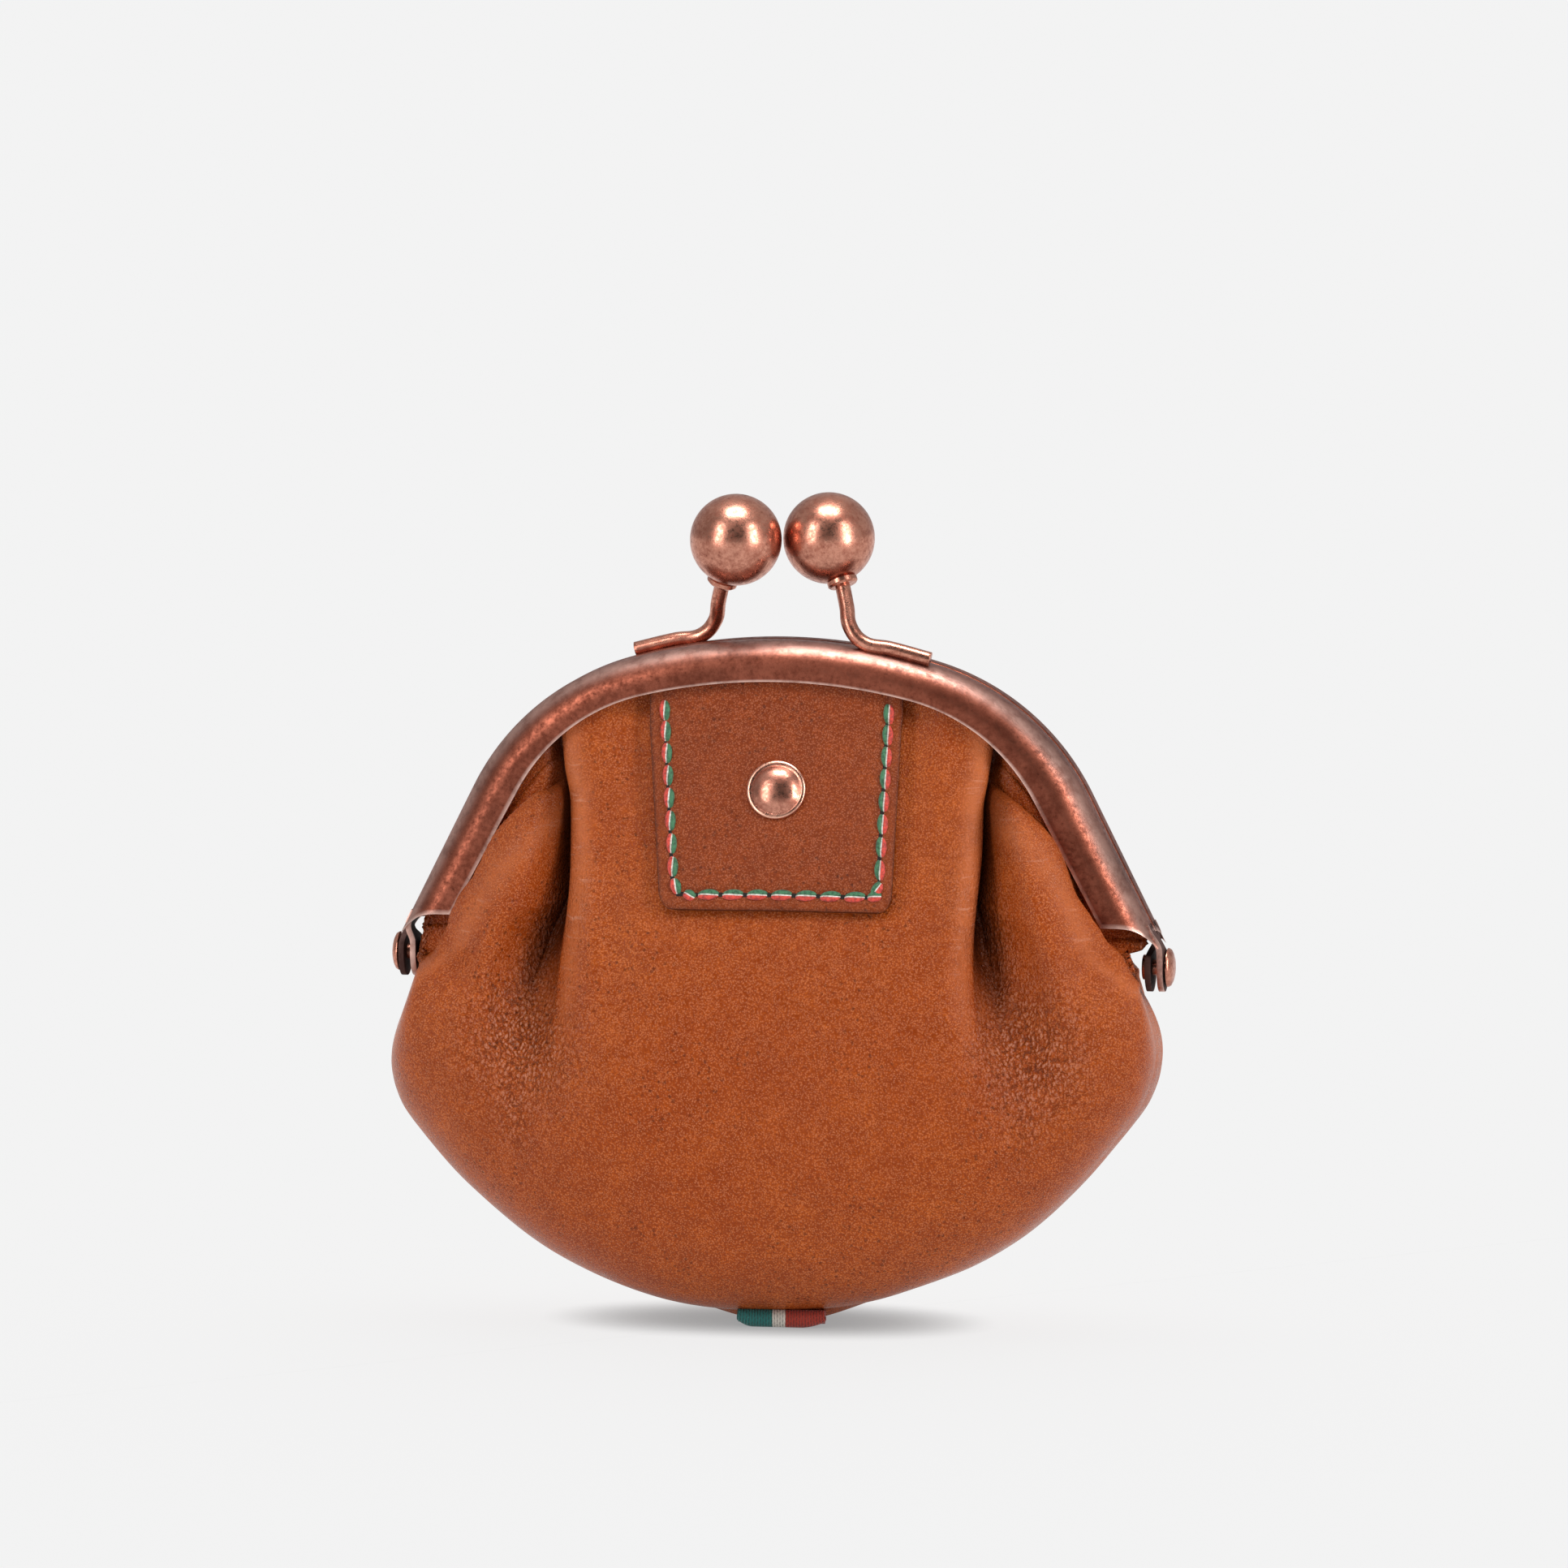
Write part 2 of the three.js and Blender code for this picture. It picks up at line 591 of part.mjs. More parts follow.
// The stud's dome, turned to stand on the tab
function stud() {
  const top = rimPoint(0).z;
  const drop = top - seam.getPointAt(0.5).y;
  const middlePoint = (z) => panelPoint(0, (top - z) / drop).setX(0);
  const seat = middlePoint(STUD.z);
  const slope = middlePoint(STUD.z - STUD.probe).sub(middlePoint(STUD.z + STUD.probe));
  const outward = slope.cross(new THREE.Vector3(1, 0, 0)).normalize();
  seat.addScaledVector(outward, LEATHER / 2 + TAB.lift + TAB.thickness + GAP);
  const profile = [new THREE.Vector2(0, 0), new THREE.Vector2(STUD.radius, 0)];
  for (let ring = 0; ring <= STUD.rings; ring += 1) {
    const angle = (Math.PI / 2) * (ring / STUD.rings);
    const radius = ring === STUD.rings ? 0 : STUD.radius * Math.cos(angle);
    profile.push(new THREE.Vector2(radius, STUD.rim + STUD.dome * Math.sin(angle)));
  }
  const geometry = new THREE.LatheGeometry(profile, STUD.sides);
  geometry.applyQuaternion(new THREE.Quaternion().setFromUnitVectors(new THREE.Vector3(0, 1, 0), outward));
  geometry.translate(seat.x, seat.y, seat.z);
  return mergeVertices(geometry);
}

// The folded ribbon, flat on the ground, with its front corners worn round
function ribbon() {
  const half = RIBBON.width / 2 - RIBBON_EDGE;
  const front = RIBBON.front + RIBBON_EDGE;
  const back = RIBBON.back - RIBBON_EDGE;
  const plan = new THREE.Shape();
  plan.moveTo(-half, back);
  plan.lineTo(-half, front + RIBBON.leftCorner);
  plan.quadraticCurveTo(-half, front, -half + RIBBON.leftCorner, front);
  plan.lineTo(half - RIBBON.rightCorner, front);
  plan.quadraticCurveTo(half, front, half, front + RIBBON.rightCorner);
  plan.lineTo(half, back);
  plan.closePath();
  const geometry = new THREE.ExtrudeGeometry(plan, {
    depth: RIBBON.thickness - 2 * RIBBON_EDGE,
    bevelEnabled: true,
    bevelSize: RIBBON_EDGE,
    bevelThickness: RIBBON_EDGE,
    bevelSegments: RIBBON_EDGE_STEPS,
    curveSegments: RIBBON_CORNER_STEPS,
  });
  geometry.translate(0, 0, RIBBON_EDGE);
  return geometry;
}

const copper = { color: 0x8a4f3d, roughness: 0.38, metalness: 1.0 };
const leather = { color: 0x9c4f22, roughness: 0.55, metalness: 0.0 };
const tabLeather = { color: 0x7d3818, roughness: 0.5, metalness: 0.0 };
const weave = { color: 0x8a2a1c, roughness: 0.85, metalness: 0.0 };

const purse = new THREE.Group();

function addPiece(name, geometry, finish) {
  const mesh = new THREE.Mesh(geometry, new THREE.MeshStandardMaterial(finish));
  mesh.name = name;
  purse.add(mesh);
  return mesh;
}

addPiece('frame_front', frameHalf(), copper);
addPiece('frame_back', frameHalf(), copper).rotation.z = Math.PI;
addPiece('rivet_right', rivet(), copper);
addPiece('rivet_left', rivet(), copper).rotation.z = Math.PI;
addPiece('pouch_front', panel(panelGrid(), 0), leather);
addPiece('pouch_back', panel(turnedBack(backGrid()), 0), leather);
addPiece('tab', tab(), tabLeather);
addPiece('stud', stud(), copper);
addPiece('ribbon', ribbon(), weave);

export default purse;
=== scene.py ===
"""Frame coin purse: the looks of the leather, the copper, the thread and the ribbon.

The scene is in metres and the sizes below are in millimetres, as a maker reads them. The front faces -Y,
+Z is up and the purse stands on the ground at z = 0.
"""

import logging
import math
from dataclasses import dataclass, field
from enum import Enum
from typing import Any, Callable, NamedTuple, Sequence

import bmesh
import bpy
import numpy as np
from mathutils import Matrix, Vector, noise


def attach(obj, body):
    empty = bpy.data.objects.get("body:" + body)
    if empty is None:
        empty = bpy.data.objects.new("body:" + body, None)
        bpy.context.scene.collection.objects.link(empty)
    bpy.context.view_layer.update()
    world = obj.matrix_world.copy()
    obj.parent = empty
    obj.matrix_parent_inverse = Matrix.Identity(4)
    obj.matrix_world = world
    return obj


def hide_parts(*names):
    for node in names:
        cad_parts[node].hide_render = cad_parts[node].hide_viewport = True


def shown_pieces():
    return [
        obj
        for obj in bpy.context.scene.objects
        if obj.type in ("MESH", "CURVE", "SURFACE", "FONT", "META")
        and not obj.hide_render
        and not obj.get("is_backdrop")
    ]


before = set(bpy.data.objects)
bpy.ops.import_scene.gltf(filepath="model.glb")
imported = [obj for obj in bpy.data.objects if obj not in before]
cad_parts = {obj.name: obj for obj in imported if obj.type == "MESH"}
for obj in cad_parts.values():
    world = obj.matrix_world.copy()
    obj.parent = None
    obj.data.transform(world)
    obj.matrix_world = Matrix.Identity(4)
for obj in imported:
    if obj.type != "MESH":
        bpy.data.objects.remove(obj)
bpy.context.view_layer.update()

MM = 0.001
BODY = "root"
NEAR = 1e-6
TIGHT = 1e-7

Array = np.ndarray
Piece = bpy.types.Object
Socket = bpy.types.NodeSocket
Span = tuple[float, float]
Point = tuple[float, float, float]
Colour = tuple[float, float, float, float]
Profile = tuple[Span, ...]

log = logging.getLogger("coin_purse")


class Side(Enum):
    """The two faces of the purse; the value is the sign of Y."""

    FRONT = -1
    BACK = 1


class Slot(Enum):
    """The material slots of the record."""

    COPPER = "copper"
    LEATHER = "leather"
    TAB = "tab_leather"
    RIBBON = "ribbon"


class Ply(Enum):
    """The three strands of the thread; the value is the strand's angle round the thread, in degrees."""

    INNER = 14.0
    MIDDLE = 104.0
    OUTER = 166.0


def smoothstep(values: Array, low: float, high: float) -> Array:
    """Rise smoothly from 0 at low to 1 at high."""
    share = np.clip((np.asarray(values, float) - low) / (high - low), 0.0, 1.0)
    return share * share * (3.0 - 2.0 * share)


def window(values: Array, rise: Span, fall: Span) -> Array:
    """Rise smoothly from 0 to 1 over one span and fall back over another."""
    return smoothstep(values, *rise) * (1.0 - smoothstep(values, *fall))


def bell(values: Array, middle: Any, half: Any) -> Array:
    """Rise to 1 at a middle and fall off on both sides over a half width."""
    return np.exp(-(((values - middle) / half) ** 2))


def direction(bearing: float, elevation: float) -> Vector:
    """Give the direction at a bearing from the front, positive to the right, and a height angle."""
    turn, rise = math.radians(bearing), math.radians(elevation)
    return Vector((math.sin(turn) * math.cos(rise), -math.cos(turn) * math.cos(rise), math.sin(rise)))


def lerp(start: Any, end: Any, share: Any) -> Any:
    """Mix two values."""
    return start + (end - start) * share


def unit(vectors: Array) -> Array:
    """Scale vectors along the last axis to length 1."""
    return vectors / np.linalg.norm(vectors, axis=-1, keepdims=True)


def read(table: Sequence[NamedTuple], column: str, places: Array) -> Array:
    """Read a column of a table between its rows, smoothly and without overshoot.

    Args:
        table: rows whose first field is the place.
        column: the field to read.
        places: where to read it.

    Returns:
        The values at those places.
    """
    keys = np.array([row[0] for row in table])
    values = np.array([getattr(row, column) for row in table])
    rises = np.diff(values) / np.diff(keys)
    product = rises[:-1] * rises[1:]
    total = np.where(product > 0, rises[:-1] + rises[1:], 1.0)
    slopes = np.zeros_like(values)
    slopes[1:-1] = np.where(product > 0, 2.0 * product / total, 0.0)
    at = np.clip(places, keys[0], keys[-1])
    row = np.clip(np.searchsorted(keys, at) - 1, 0, len(keys) - 2)
    width = keys[row + 1] - keys[row]
    share = (at - keys[row]) / width
    leaving = slopes[row] * width * share * (1.0 - share) ** 2
    arriving = slopes[row + 1] * width * share**2 * (share - 1.0)
    return lerp(values[row], values[row + 1], share * share * (3.0 - 2.0 * share)) + leaving + arriving


class Bench:
    """The modelling operators, used as by hand on one piece at a time."""

    @staticmethod
    def clear() -> None:
        """Leave edit mode and deselect everything."""
        active = bpy.context.view_layer.objects.active
        if active is not None and active.mode != "OBJECT":
            bpy.ops.object.mode_set(mode="OBJECT")
        bpy.ops.object.select_all(action="DESELECT")

    @staticmethod
    def take(piece: Piece) -> None:
        """Select one piece alone and make it active.

        Args:
            piece: the piece to select.
        """
        Bench.clear()
        piece.select_set(True)
        bpy.context.view_layer.objects.active = piece

    @staticmethod
    def named(name: str) -> Piece:
        """Name the piece that an operator has just added.

        Args:
            name: its name.

        Returns:
            The piece.
        """
        piece = bpy.context.view_layer.objects.active
        piece.name = name
        piece.data.name = name
        return piece

    @staticmethod
    def pick(piece: Piece, test: Callable[[Vector], bool]) -> None:
        """Select, in edit mode, the vertices that pass a test of their place and what lies between them.

        Args:
            piece: the mesh to select on.
            test: takes a vertex's place in metres.
        """
        Bench.take(piece)
        bpy.ops.object.mode_set(mode="EDIT")
        bpy.ops.mesh.select_mode(type="VERT")
        bpy.ops.mesh.select_all(action="DESELECT")
        shape = bmesh.from_edit_mesh(piece.data)
        for vertex in shape.verts:
            vertex.select_set(bool(test(vertex.co)))
        shape.select_flush(True)
        bmesh.update_edit_mesh(piece.data)

    @staticmethod
    def mend(piece: Piece, merge: float = NEAR) -> None:
        """Merge doubled vertices and turn the faces outwards.

        Args:
            piece: the mesh to mend.
            merge: how near vertices count as doubled, in metres.
        """
        Bench.take(piece)
        bpy.ops.object.mode_set(mode="EDIT")
        bpy.ops.mesh.select_all(action="SELECT")
        bpy.ops.mesh.remove_doubles(threshold=merge)
        bpy.ops.mesh.normals_make_consistent(inside=False)
        bpy.ops.object.mode_set(mode="OBJECT")

    @staticmethod
    def modify(piece: Piece, kind: str, **settings: Any) -> None:
        """Add a modifier and apply it.

        Args:
            piece: the mesh to change.
            kind: the modifier's type.
            settings: its settings.
        """
        Bench.take(piece)
        modifier = piece.modifiers.new(kind.title(), kind)
        for name, value in settings.items():
            setattr(modifier, name, value)
        bpy.ops.object.modifier_apply(modifier=modifier.name)

    @staticmethod
    def soften(piece: Piece, width: float, segments: int, degrees: float = 60.0) -> None:
        """Round the edges sharper than an angle, over a width in millimetres."""
        limit = {"limit_method": "ANGLE", "angle_limit": math.radians(degrees)}
        Bench.modify(piece, "BEVEL", width=width * MM, segments=segments, **limit)

    @staticmethod
    def smooth(piece: Piece, degrees: float = 38.0) -> None:
        """Shade a piece smooth across edges flatter than an angle."""
        Bench.take(piece)
        bpy.ops.object.shade_smooth_by_angle(angle=math.radians(degrees))

    @staticmethod
    def settle(piece: Piece, matrix: Matrix) -> None:
        """Move a piece's mesh, with its object left at the origin.

        Args:
            piece: the piece to move.
            matrix: the move, in metres.
        """
        Bench.take(piece)
        piece.matrix_world = matrix
        bpy.ops.object.transform_apply(location=True, rotation=True, scale=True)

    @staticmethod
    def copy(piece: Piece, name: str) -> Piece:
        """Duplicate a piece.

        Args:
            piece: the piece to copy.
            name: the copy's name.

        Returns:
            The copy, with a mesh of its own.
        """
        Bench.take(piece)
        bpy.ops.object.duplicate(linked=False)
        return Bench.named(name)

    @staticmethod
    def join(name: str, pieces: Sequence[Piece]) -> Piece:
        """Join pieces into the first of them.

        Args:
            name: the joined piece's name.
            pieces: the pieces to join.

        Returns:
            The joined piece.
        """
        Bench.take(pieces[0])
        for piece in pieces[1:]:
            piece.select_set(True)
        bpy.ops.object.join()
        return Bench.named(name)

    @staticmethod
    def turned(name: str, profile: Profile, sides: int) -> Piece:
        """Turn a piece on the Z axis: a disc, extruded and scaled along a profile.

        Args:
            name: the piece's name.
            profile: (radius, height) from the bottom up, in millimetres.
            sides: how many sides the round has.

        Returns:
            The closed piece.
        """
        Bench.clear()
        (radius, height), *rest = profile
        centre = (0.0, 0.0, height * MM)
        size = radius * MM
        bpy.ops.mesh.primitive_circle_add(vertices=sides, radius=size, fill_type="NGON", location=centre)
        piece = Bench.named(name)
        Bench.settle(piece, piece.matrix_world.copy())
        Bench.pick(piece, lambda place: True)
        for next_radius, next_height in rest:
            rise = (0.0, 0.0, (next_height - height) * MM)
            bpy.ops.mesh.extrude_region_move(TRANSFORM_OT_translate={"value": rise})
            factor = next_radius / radius
            middle = (0.0, 0.0, next_height * MM)
            bpy.ops.transform.resize(value=(factor, factor, 1.0), center_override=middle)
            radius, height = next_radius, next_height
        Bench.mend(piece)
        return piece

    @staticmethod
    def sheet(name: str, points: Array) -> Piece:
        """Lay a flat grid and lift its vertices into a form.

        Args:
            name: the piece's name.
            points: rows x columns x 3 places in millimetres.

        Returns:
            The open sheet, with the grid's own UV map.
        """
        rows, columns, _ = points.shape
        Bench.clear()
        bpy.ops.mesh.primitive_grid_add(x_subdivisions=columns - 1, y_subdivisions=rows - 1, calc_uvs=True)
        piece = Bench.named(name)
        Bench.put(piece, points)
        return piece

    @staticmethod
    def places(piece: Piece) -> Array:
        """Read where a mesh's vertices are.

        Args:
            piece: the mesh to read.

        Returns:
            Their places in millimetres.
        """
        flat = np.zeros(len(piece.data.vertices) * 3, np.float32)
        piece.data.vertices.foreach_get("co", flat)
        return flat.reshape(-1, 3).astype(float) / MM

    @staticmethod
    def put(piece: Piece, points: Array) -> None:
        """Move a mesh's vertices to places in millimetres."""
        piece.data.vertices.foreach_set("co", (points * MM).astype(np.float32).ravel())
        piece.data.update()

    @staticmethod
    def mark(piece: Piece, name: str, values: Array) -> None:
        """Write an attribute that a finish can read.

        Args:
            piece: the mesh to mark.
            name: the attribute's name.
            values: a number or a vector for each vertex.
        """
        kind = "FLOAT" if values.ndim == 1 else "FLOAT_VECTOR"
        key = "value" if values.ndim == 1 else "vector"
        attribute = piece.data.attributes.new(name, kind, "POINT")
        attribute.data.foreach_set(key, values.astype(np.float32).ravel())


class Recipe:
    """A material's node tree, written one node at a time."""

    def __init__(self, name: str) -> None:
        """Start an empty material.

        Args:
            name: the material's name.
        """
        self.material = bpy.data.materials.new(name)
        self.material.use_nodes = True
        self.tree = self.material.node_tree
        self.tree.nodes.clear()
        self.output = self.tree.nodes.new("ShaderNodeOutputMaterial")

    def add(self, kind: str, inputs: dict[Any, Any] | None = None, **settings: Any) -> bpy.types.Node:
        """Add a node.

        Args:
            kind: the node's type.
            inputs: sockets to link or values to set, by input name or number.
            settings: the node's own options.

        Returns:
            The node.
        """
        node = self.tree.nodes.new(kind)
        for name, value in settings.items():
            setattr(node, name, value)
        for key, value in (inputs or {}).items():
            if isinstance(value, Socket):
                self.tree.links.new(value, node.inputs[key])
            else:
                node.inputs[key].default_value = value
        return node

    def object_place(self) -> Socket:
        """Give the place on the piece, in metres."""
        return self.add("ShaderNodeTexCoord").outputs["Object"]

    def attribute(self, name: str, output: str = "Fac") -> Socket:
        """Give a piece's own attribute."""
        return self.add("ShaderNodeAttribute", attribute_name=name).outputs[output]

    def stretch(self, place: Socket, scale: Sequence[float]) -> Socket:
        """Scale a place along each axis."""
        return self.add("ShaderNodeMapping", {"Vector": place, "Scale": scale}).outputs[0]

    def noise(self, place: Socket, scale: float, detail: float = 3.0, roughness: float = 0.55) -> Socket:
        """Give a cloudy pattern from 0 to 1."""
        inputs = {"Vector": place, "Scale": scale, "Detail": detail, "Roughness": roughness}
        return self.add("ShaderNodeTexNoise", inputs).outputs["Fac"]

    def vector(self, operation: str, inputs: dict[Any, Any]) -> Socket:
        """Work out a vector from others."""
        return self.add("ShaderNodeVectorMath", inputs, operation=operation).outputs[0]

    def warped(self, place: Socket, scale: float, reach: float) -> Socket:
        """Shift a place by a noise, so that a pattern on it runs unevenly.

        Args:
            place: the place to shift.
            scale: how fine the noise is.
            reach: how far it shifts, in metres.

        Returns:
            The shifted place.
        """
        inputs = {"Vector": place, "Scale": scale, "Detail": 2.0}
        clouds = self.add("ShaderNodeTexNoise", inputs).outputs["Color"]
        centred = self.vector("SUBTRACT", {0: clouds, 1: (0.5, 0.5, 0.5)})
        return self.vector("ADD", {0: place, 1: self.vector("SCALE", {0: centred, "Scale": reach})})

    def cells(self, place: Socket, scale: float, feature: str) -> Socket:
        """Give a cell pattern: the distance to a cell's point or to its edge."""
        inputs = {"Vector": place, "Scale": scale}
        return self.add("ShaderNodeTexVoronoi", inputs, feature=feature).outputs["Distance"]

    def span(self, value: Socket, low: float, high: float, start: float = 0.0, end: float = 1.0) -> Socket:
        """Map a value from low..high to start..end, smoothly and clamped."""
        inputs = {"Value": value, "From Min": low, "From Max": high, "To Min": start, "To Max": end}
        return self.add("ShaderNodeMapRange", inputs, interpolation_type="SMOOTHSTEP").outputs[0]

    def math(self, operation: str, first: Any, second: Any, third: Any = None) -> Socket:
        """Work out a number from two or three others."""
        inputs = {0: first, 1: second} if third is None else {0: first, 1: second, 2: third}
        return self.add("ShaderNodeMath", inputs, operation=operation).outputs[0]

    def times(self, first: Any, second: Any) -> Socket:
        """Multiply two numbers."""
        return self.math("MULTIPLY", first, second)

    def tint(self, share: Any, first: Any, second: Any) -> Socket:
        """Mix two colours."""
        return self.add("ShaderNodeMix", {0: share, 6: first, 7: second}, data_type="RGBA").outputs[2]

    def relief(self, height: Socket, depth: float, under: Socket | None = None) -> Socket:
        """Give the normal of a relief.

        Args:
            height: its height, from 0 to 1.
            depth: its full height in millimetres.
            under: the normal of a relief under it.

        Returns:
            The normal.
        """
        inputs = {"Height": height, "Distance": depth * MM, "Strength": 1.0}
        if under is not None:
            inputs["Normal"] = under
        return self.add("ShaderNodeBump", inputs).outputs[0]

    def finish(self, **inputs: Any) -> bpy.types.Material:
        """Close the tree with a principled shader and return the material.

        Args:
            inputs: the shader's sockets, with underscores for the spaces in their names.

        Returns:
            The material.
        """
        named = {name.replace("_", " "): value for name, value in inputs.items()}
        shader = self.add("ShaderNodeBsdfPrincipled", named)
        self.tree.links.new(shader.outputs[0], self.output.inputs[0])
        return self.material


@dataclass(frozen=True)
class GrainedLeather:
    """Tan leather with a pebbled grain, pores and softly mottled dye, with painted shade in its pockets,
    painted glints on its grain and painted highlights along its ridges.
    """

    name: str
    light: Colour
    middle: Colour
    dark: Colour
    pore_and_shade: Colour
    scuff_and_glint: Colour
    glint: Colour
    grain: float
    wrinkle: float
    grain_depth: float
    crease_depth: float
    roughness: float
    pores: float
    gloss: float
    clouds: float = 38.0
    mottle: float = 330.0
    speck: float = 3600.0
    scratches: float = 2300.0
    pits: float = 1050.0
    pit_depth: float = 0.05
    pit_patches: float = 60.0
    crease_polish: float = -0.07

    def make(self) -> bpy.types.Material:
        """Build the material.

        Returns:
            The leather, which reads a piece's crease mark, its mark of rubbed wear and painted highlight,
            and its mark of painted shade.
        """
        recipe = Recipe(self.name)
        place = recipe.object_place()
        crease = recipe.attribute("crease")
        rub = recipe.attribute("rub")
        shade = recipe.attribute("shade")
        clouds = recipe.noise(place, self.clouds, detail=4.0, roughness=0.6)
        mottle = recipe.noise(place, self.mottle, detail=5.0, roughness=0.68)
        speck = recipe.noise(place, self.speck, detail=2.0, roughness=0.6)
        cells = recipe.cells(recipe.warped(place, scale=700.0, reach=0.0007), self.grain, "F1")
        drawn = recipe.stretch(recipe.warped(place, scale=420.0, reach=0.0012), (1.0, 1.0, 0.6))
        coarse = recipe.cells(drawn, self.wrinkle, "F1")
        level = recipe.stretch(recipe.warped(place, scale=160.0, reach=0.0016), (0.1, 0.1, 1.0))
        scratch = recipe.noise(level, self.scratches, detail=2.0)
        pits = recipe.cells(recipe.warped(place, scale=500.0, reach=0.0009), self.pits, "F1")
        where = recipe.span(recipe.noise(place, self.pit_patches, detail=2.0), 0.42, 0.62)
        pit = recipe.times(recipe.span(pits, 0.12, 0.3, 1.0, 0.0), where)

        body = recipe.tint(recipe.span(clouds, 0.32, 0.68), self.middle, self.light)
        body = recipe.tint(recipe.span(mottle, 0.36, 0.66, 0.5, 0.0), body, self.dark)
        body = recipe.tint(recipe.span(speck, 0.4, 0.6, 0.55, 0.0), body, self.dark)
        body = recipe.tint(recipe.span(cells, 0.45, 0.8, 0.0, 0.6), body, self.dark)
        # Painted glints: the tops of the grain cells are tinted toward a light glint colour in place of
        # specular sparkle.
        body = recipe.tint(recipe.span(cells, 0.22, 0.46, 0.5, 0.0), body, self.glint)
        body = recipe.tint(recipe.times(pit, self.pores), body, self.pore_and_shade)
        lines = recipe.times(recipe.span(coarse, 0.5, 0.85, 0.0, 0.65), crease)
        body = recipe.tint(lines, body, self.pore_and_shade)
        # Painted glints on the tops of the crease pebbles, tinted toward the light scuff colour.
        painted_pebble_glint = recipe.times(recipe.span(coarse, 0.2, 0.46, 0.42, 0.0), crease)
        body = recipe.tint(painted_pebble_glint, body, self.scuff_and_glint)
        # The rub mark is partly rubbed wear and partly painted highlight: it lightens the leather toward its
        # light tone and lays scratches on a painted lit baseline.
        rubbed = recipe.times(rub, recipe.span(mottle, 0.3, 0.6, 0.35, 0.85))
        body = recipe.tint(rubbed, body, self.light)
        scuff_and_glint = recipe.times(rub, recipe.span(scratch, 0.58, 0.73, 0.14, 0.5))
        body = recipe.tint(scuff_and_glint, body, self.scuff_and_glint)
        # Painted shade: the shade mark darkens the leather toward the dark pore colour in pockets, recesses
        # and creases.
        body = recipe.tint(shade, body, self.pore_and_shade)

        fine = recipe.math("MULTIPLY_ADD", speck, 0.6, recipe.span(cells, 0.2, 0.85, 1.0, 0.0))
        skin = recipe.relief(fine, self.grain_depth)
        pebble = recipe.times(recipe.span(coarse, 0.2, 0.8, 1.0, 0.0), crease)
        skin = recipe.relief(pebble, self.crease_depth, skin)
        skin = recipe.relief(recipe.times(pit, -1.0), self.pit_depth, skin)
        gloss = recipe.span(mottle, 0.3, 0.7, self.roughness - 0.06, self.roughness + 0.08)
        gloss = recipe.math("MULTIPLY_ADD", crease, self.crease_polish, gloss)
        return recipe.finish(Base_Color=body, Roughness=gloss, Normal=skin, Specular_IOR_Level=self.gloss)


@dataclass(frozen=True)
class RawLeather:
    """The cut edge of leather: fibrous, dull and a little darker."""

    name: str
    colour: Colour
    dark: Colour

    def make(self) -> bpy.types.Material:
        """Build the material.

        Returns:
            The material.
        """
        recipe = Recipe(self.name)
        fibres = recipe.noise(recipe.object_place(), 1500.0, detail=5.0, roughness=0.7)
        body = recipe.tint(recipe.span(fibres, 0.3, 0.7), self.dark, self.colour)
        return recipe.finish(Base_Color=body, Normal=recipe.relief(fibres, 0.12), Roughness=0.8)


@dataclass(frozen=True)
class AntiqueCopper:
    """Copper plating that is darkened all over and rubbed bright again on its edges, with a painted
    highlight band on the frame's rounded face.
    """

    name: str
    bright: Colour
    middle: Colour
    oxide: Colour
    worn_and_highlight: Colour
    speck: float
    roughness: float
    patches: float = 95.0
    smear: float = 420.0
    dullness: float = 0.45

    def make(self) -> bpy.types.Material:
        """Build the material.

        Returns:
            The copper, which reads a piece's mark of wear, which also carries a painted highlight band, and
            its mark of darkening, which makes faces dark, dull and not metallic.
        """
        recipe = Recipe(self.name)
        place = recipe.object_place()
        wear = recipe.attribute("wear")
        darkening = recipe.attribute("darkening")
        patches = recipe.noise(place, self.patches, detail=4.0, roughness=0.62)
        smear = recipe.noise(place, self.smear, detail=5.0, roughness=0.7)
        specks = recipe.noise(place, self.speck, detail=4.0, roughness=0.75)
        grime = recipe.math("MULTIPLY_ADD", specks, 0.62, recipe.times(smear, 0.42))
        grime = recipe.span(grime, 0.38, 0.66)
        body = recipe.tint(grime, self.middle, self.bright)
        body = recipe.tint(recipe.span(patches, 0.4, 0.7, 0.0, 0.3), body, self.oxide)
        body = recipe.tint(recipe.span(specks, 0.24, 0.4, 0.75, 0.0), body, self.oxide)
        # Marked faces turn to the dark oxide colour, rougher and not metallic.
        body = recipe.tint(darkening, body, self.oxide)
        # Real rubbed wear on lips, feet and edges, and a painted highlight band on the frame's rounded face,
        # both whitened toward the worn colour.
        worn_and_highlight = recipe.times(wear, recipe.span(smear, 0.3, 0.6, 0.45, 1.0))
        body = recipe.tint(worn_and_highlight, body, self.worn_and_highlight)
        rough = recipe.span(specks, 0.3, 0.7, self.roughness + 0.12, self.roughness - 0.06)
        rough = recipe.math("MULTIPLY_ADD", darkening, self.dullness, rough)
        skin = recipe.relief(specks, 0.012, recipe.relief(patches, 0.02))
        metal = recipe.math("MULTIPLY_ADD", darkening, -1.0, 1.0)
        return recipe.finish(Base_Color=body, Metallic=metal, Roughness=rough, Normal=skin)


@dataclass(frozen=True)
class Thread:
    """One strand of waxed thread."""

    name: str
    colour: Colour
    dark: Colour

    def make(self) -> bpy.types.Material:
        """Build the material.

        Returns:
            The material.
        """
        recipe = Recipe(self.name)
        fibres = recipe.noise(recipe.object_place(), 2600.0, detail=3.0, roughness=0.6)
        body = recipe.tint(recipe.span(fibres, 0.32, 0.62), self.dark, self.colour)
        return recipe.finish(
            Base_Color=body, Normal=recipe.relief(fibres, 0.05), Roughness=0.55, Sheen_Weight=0.25
        )


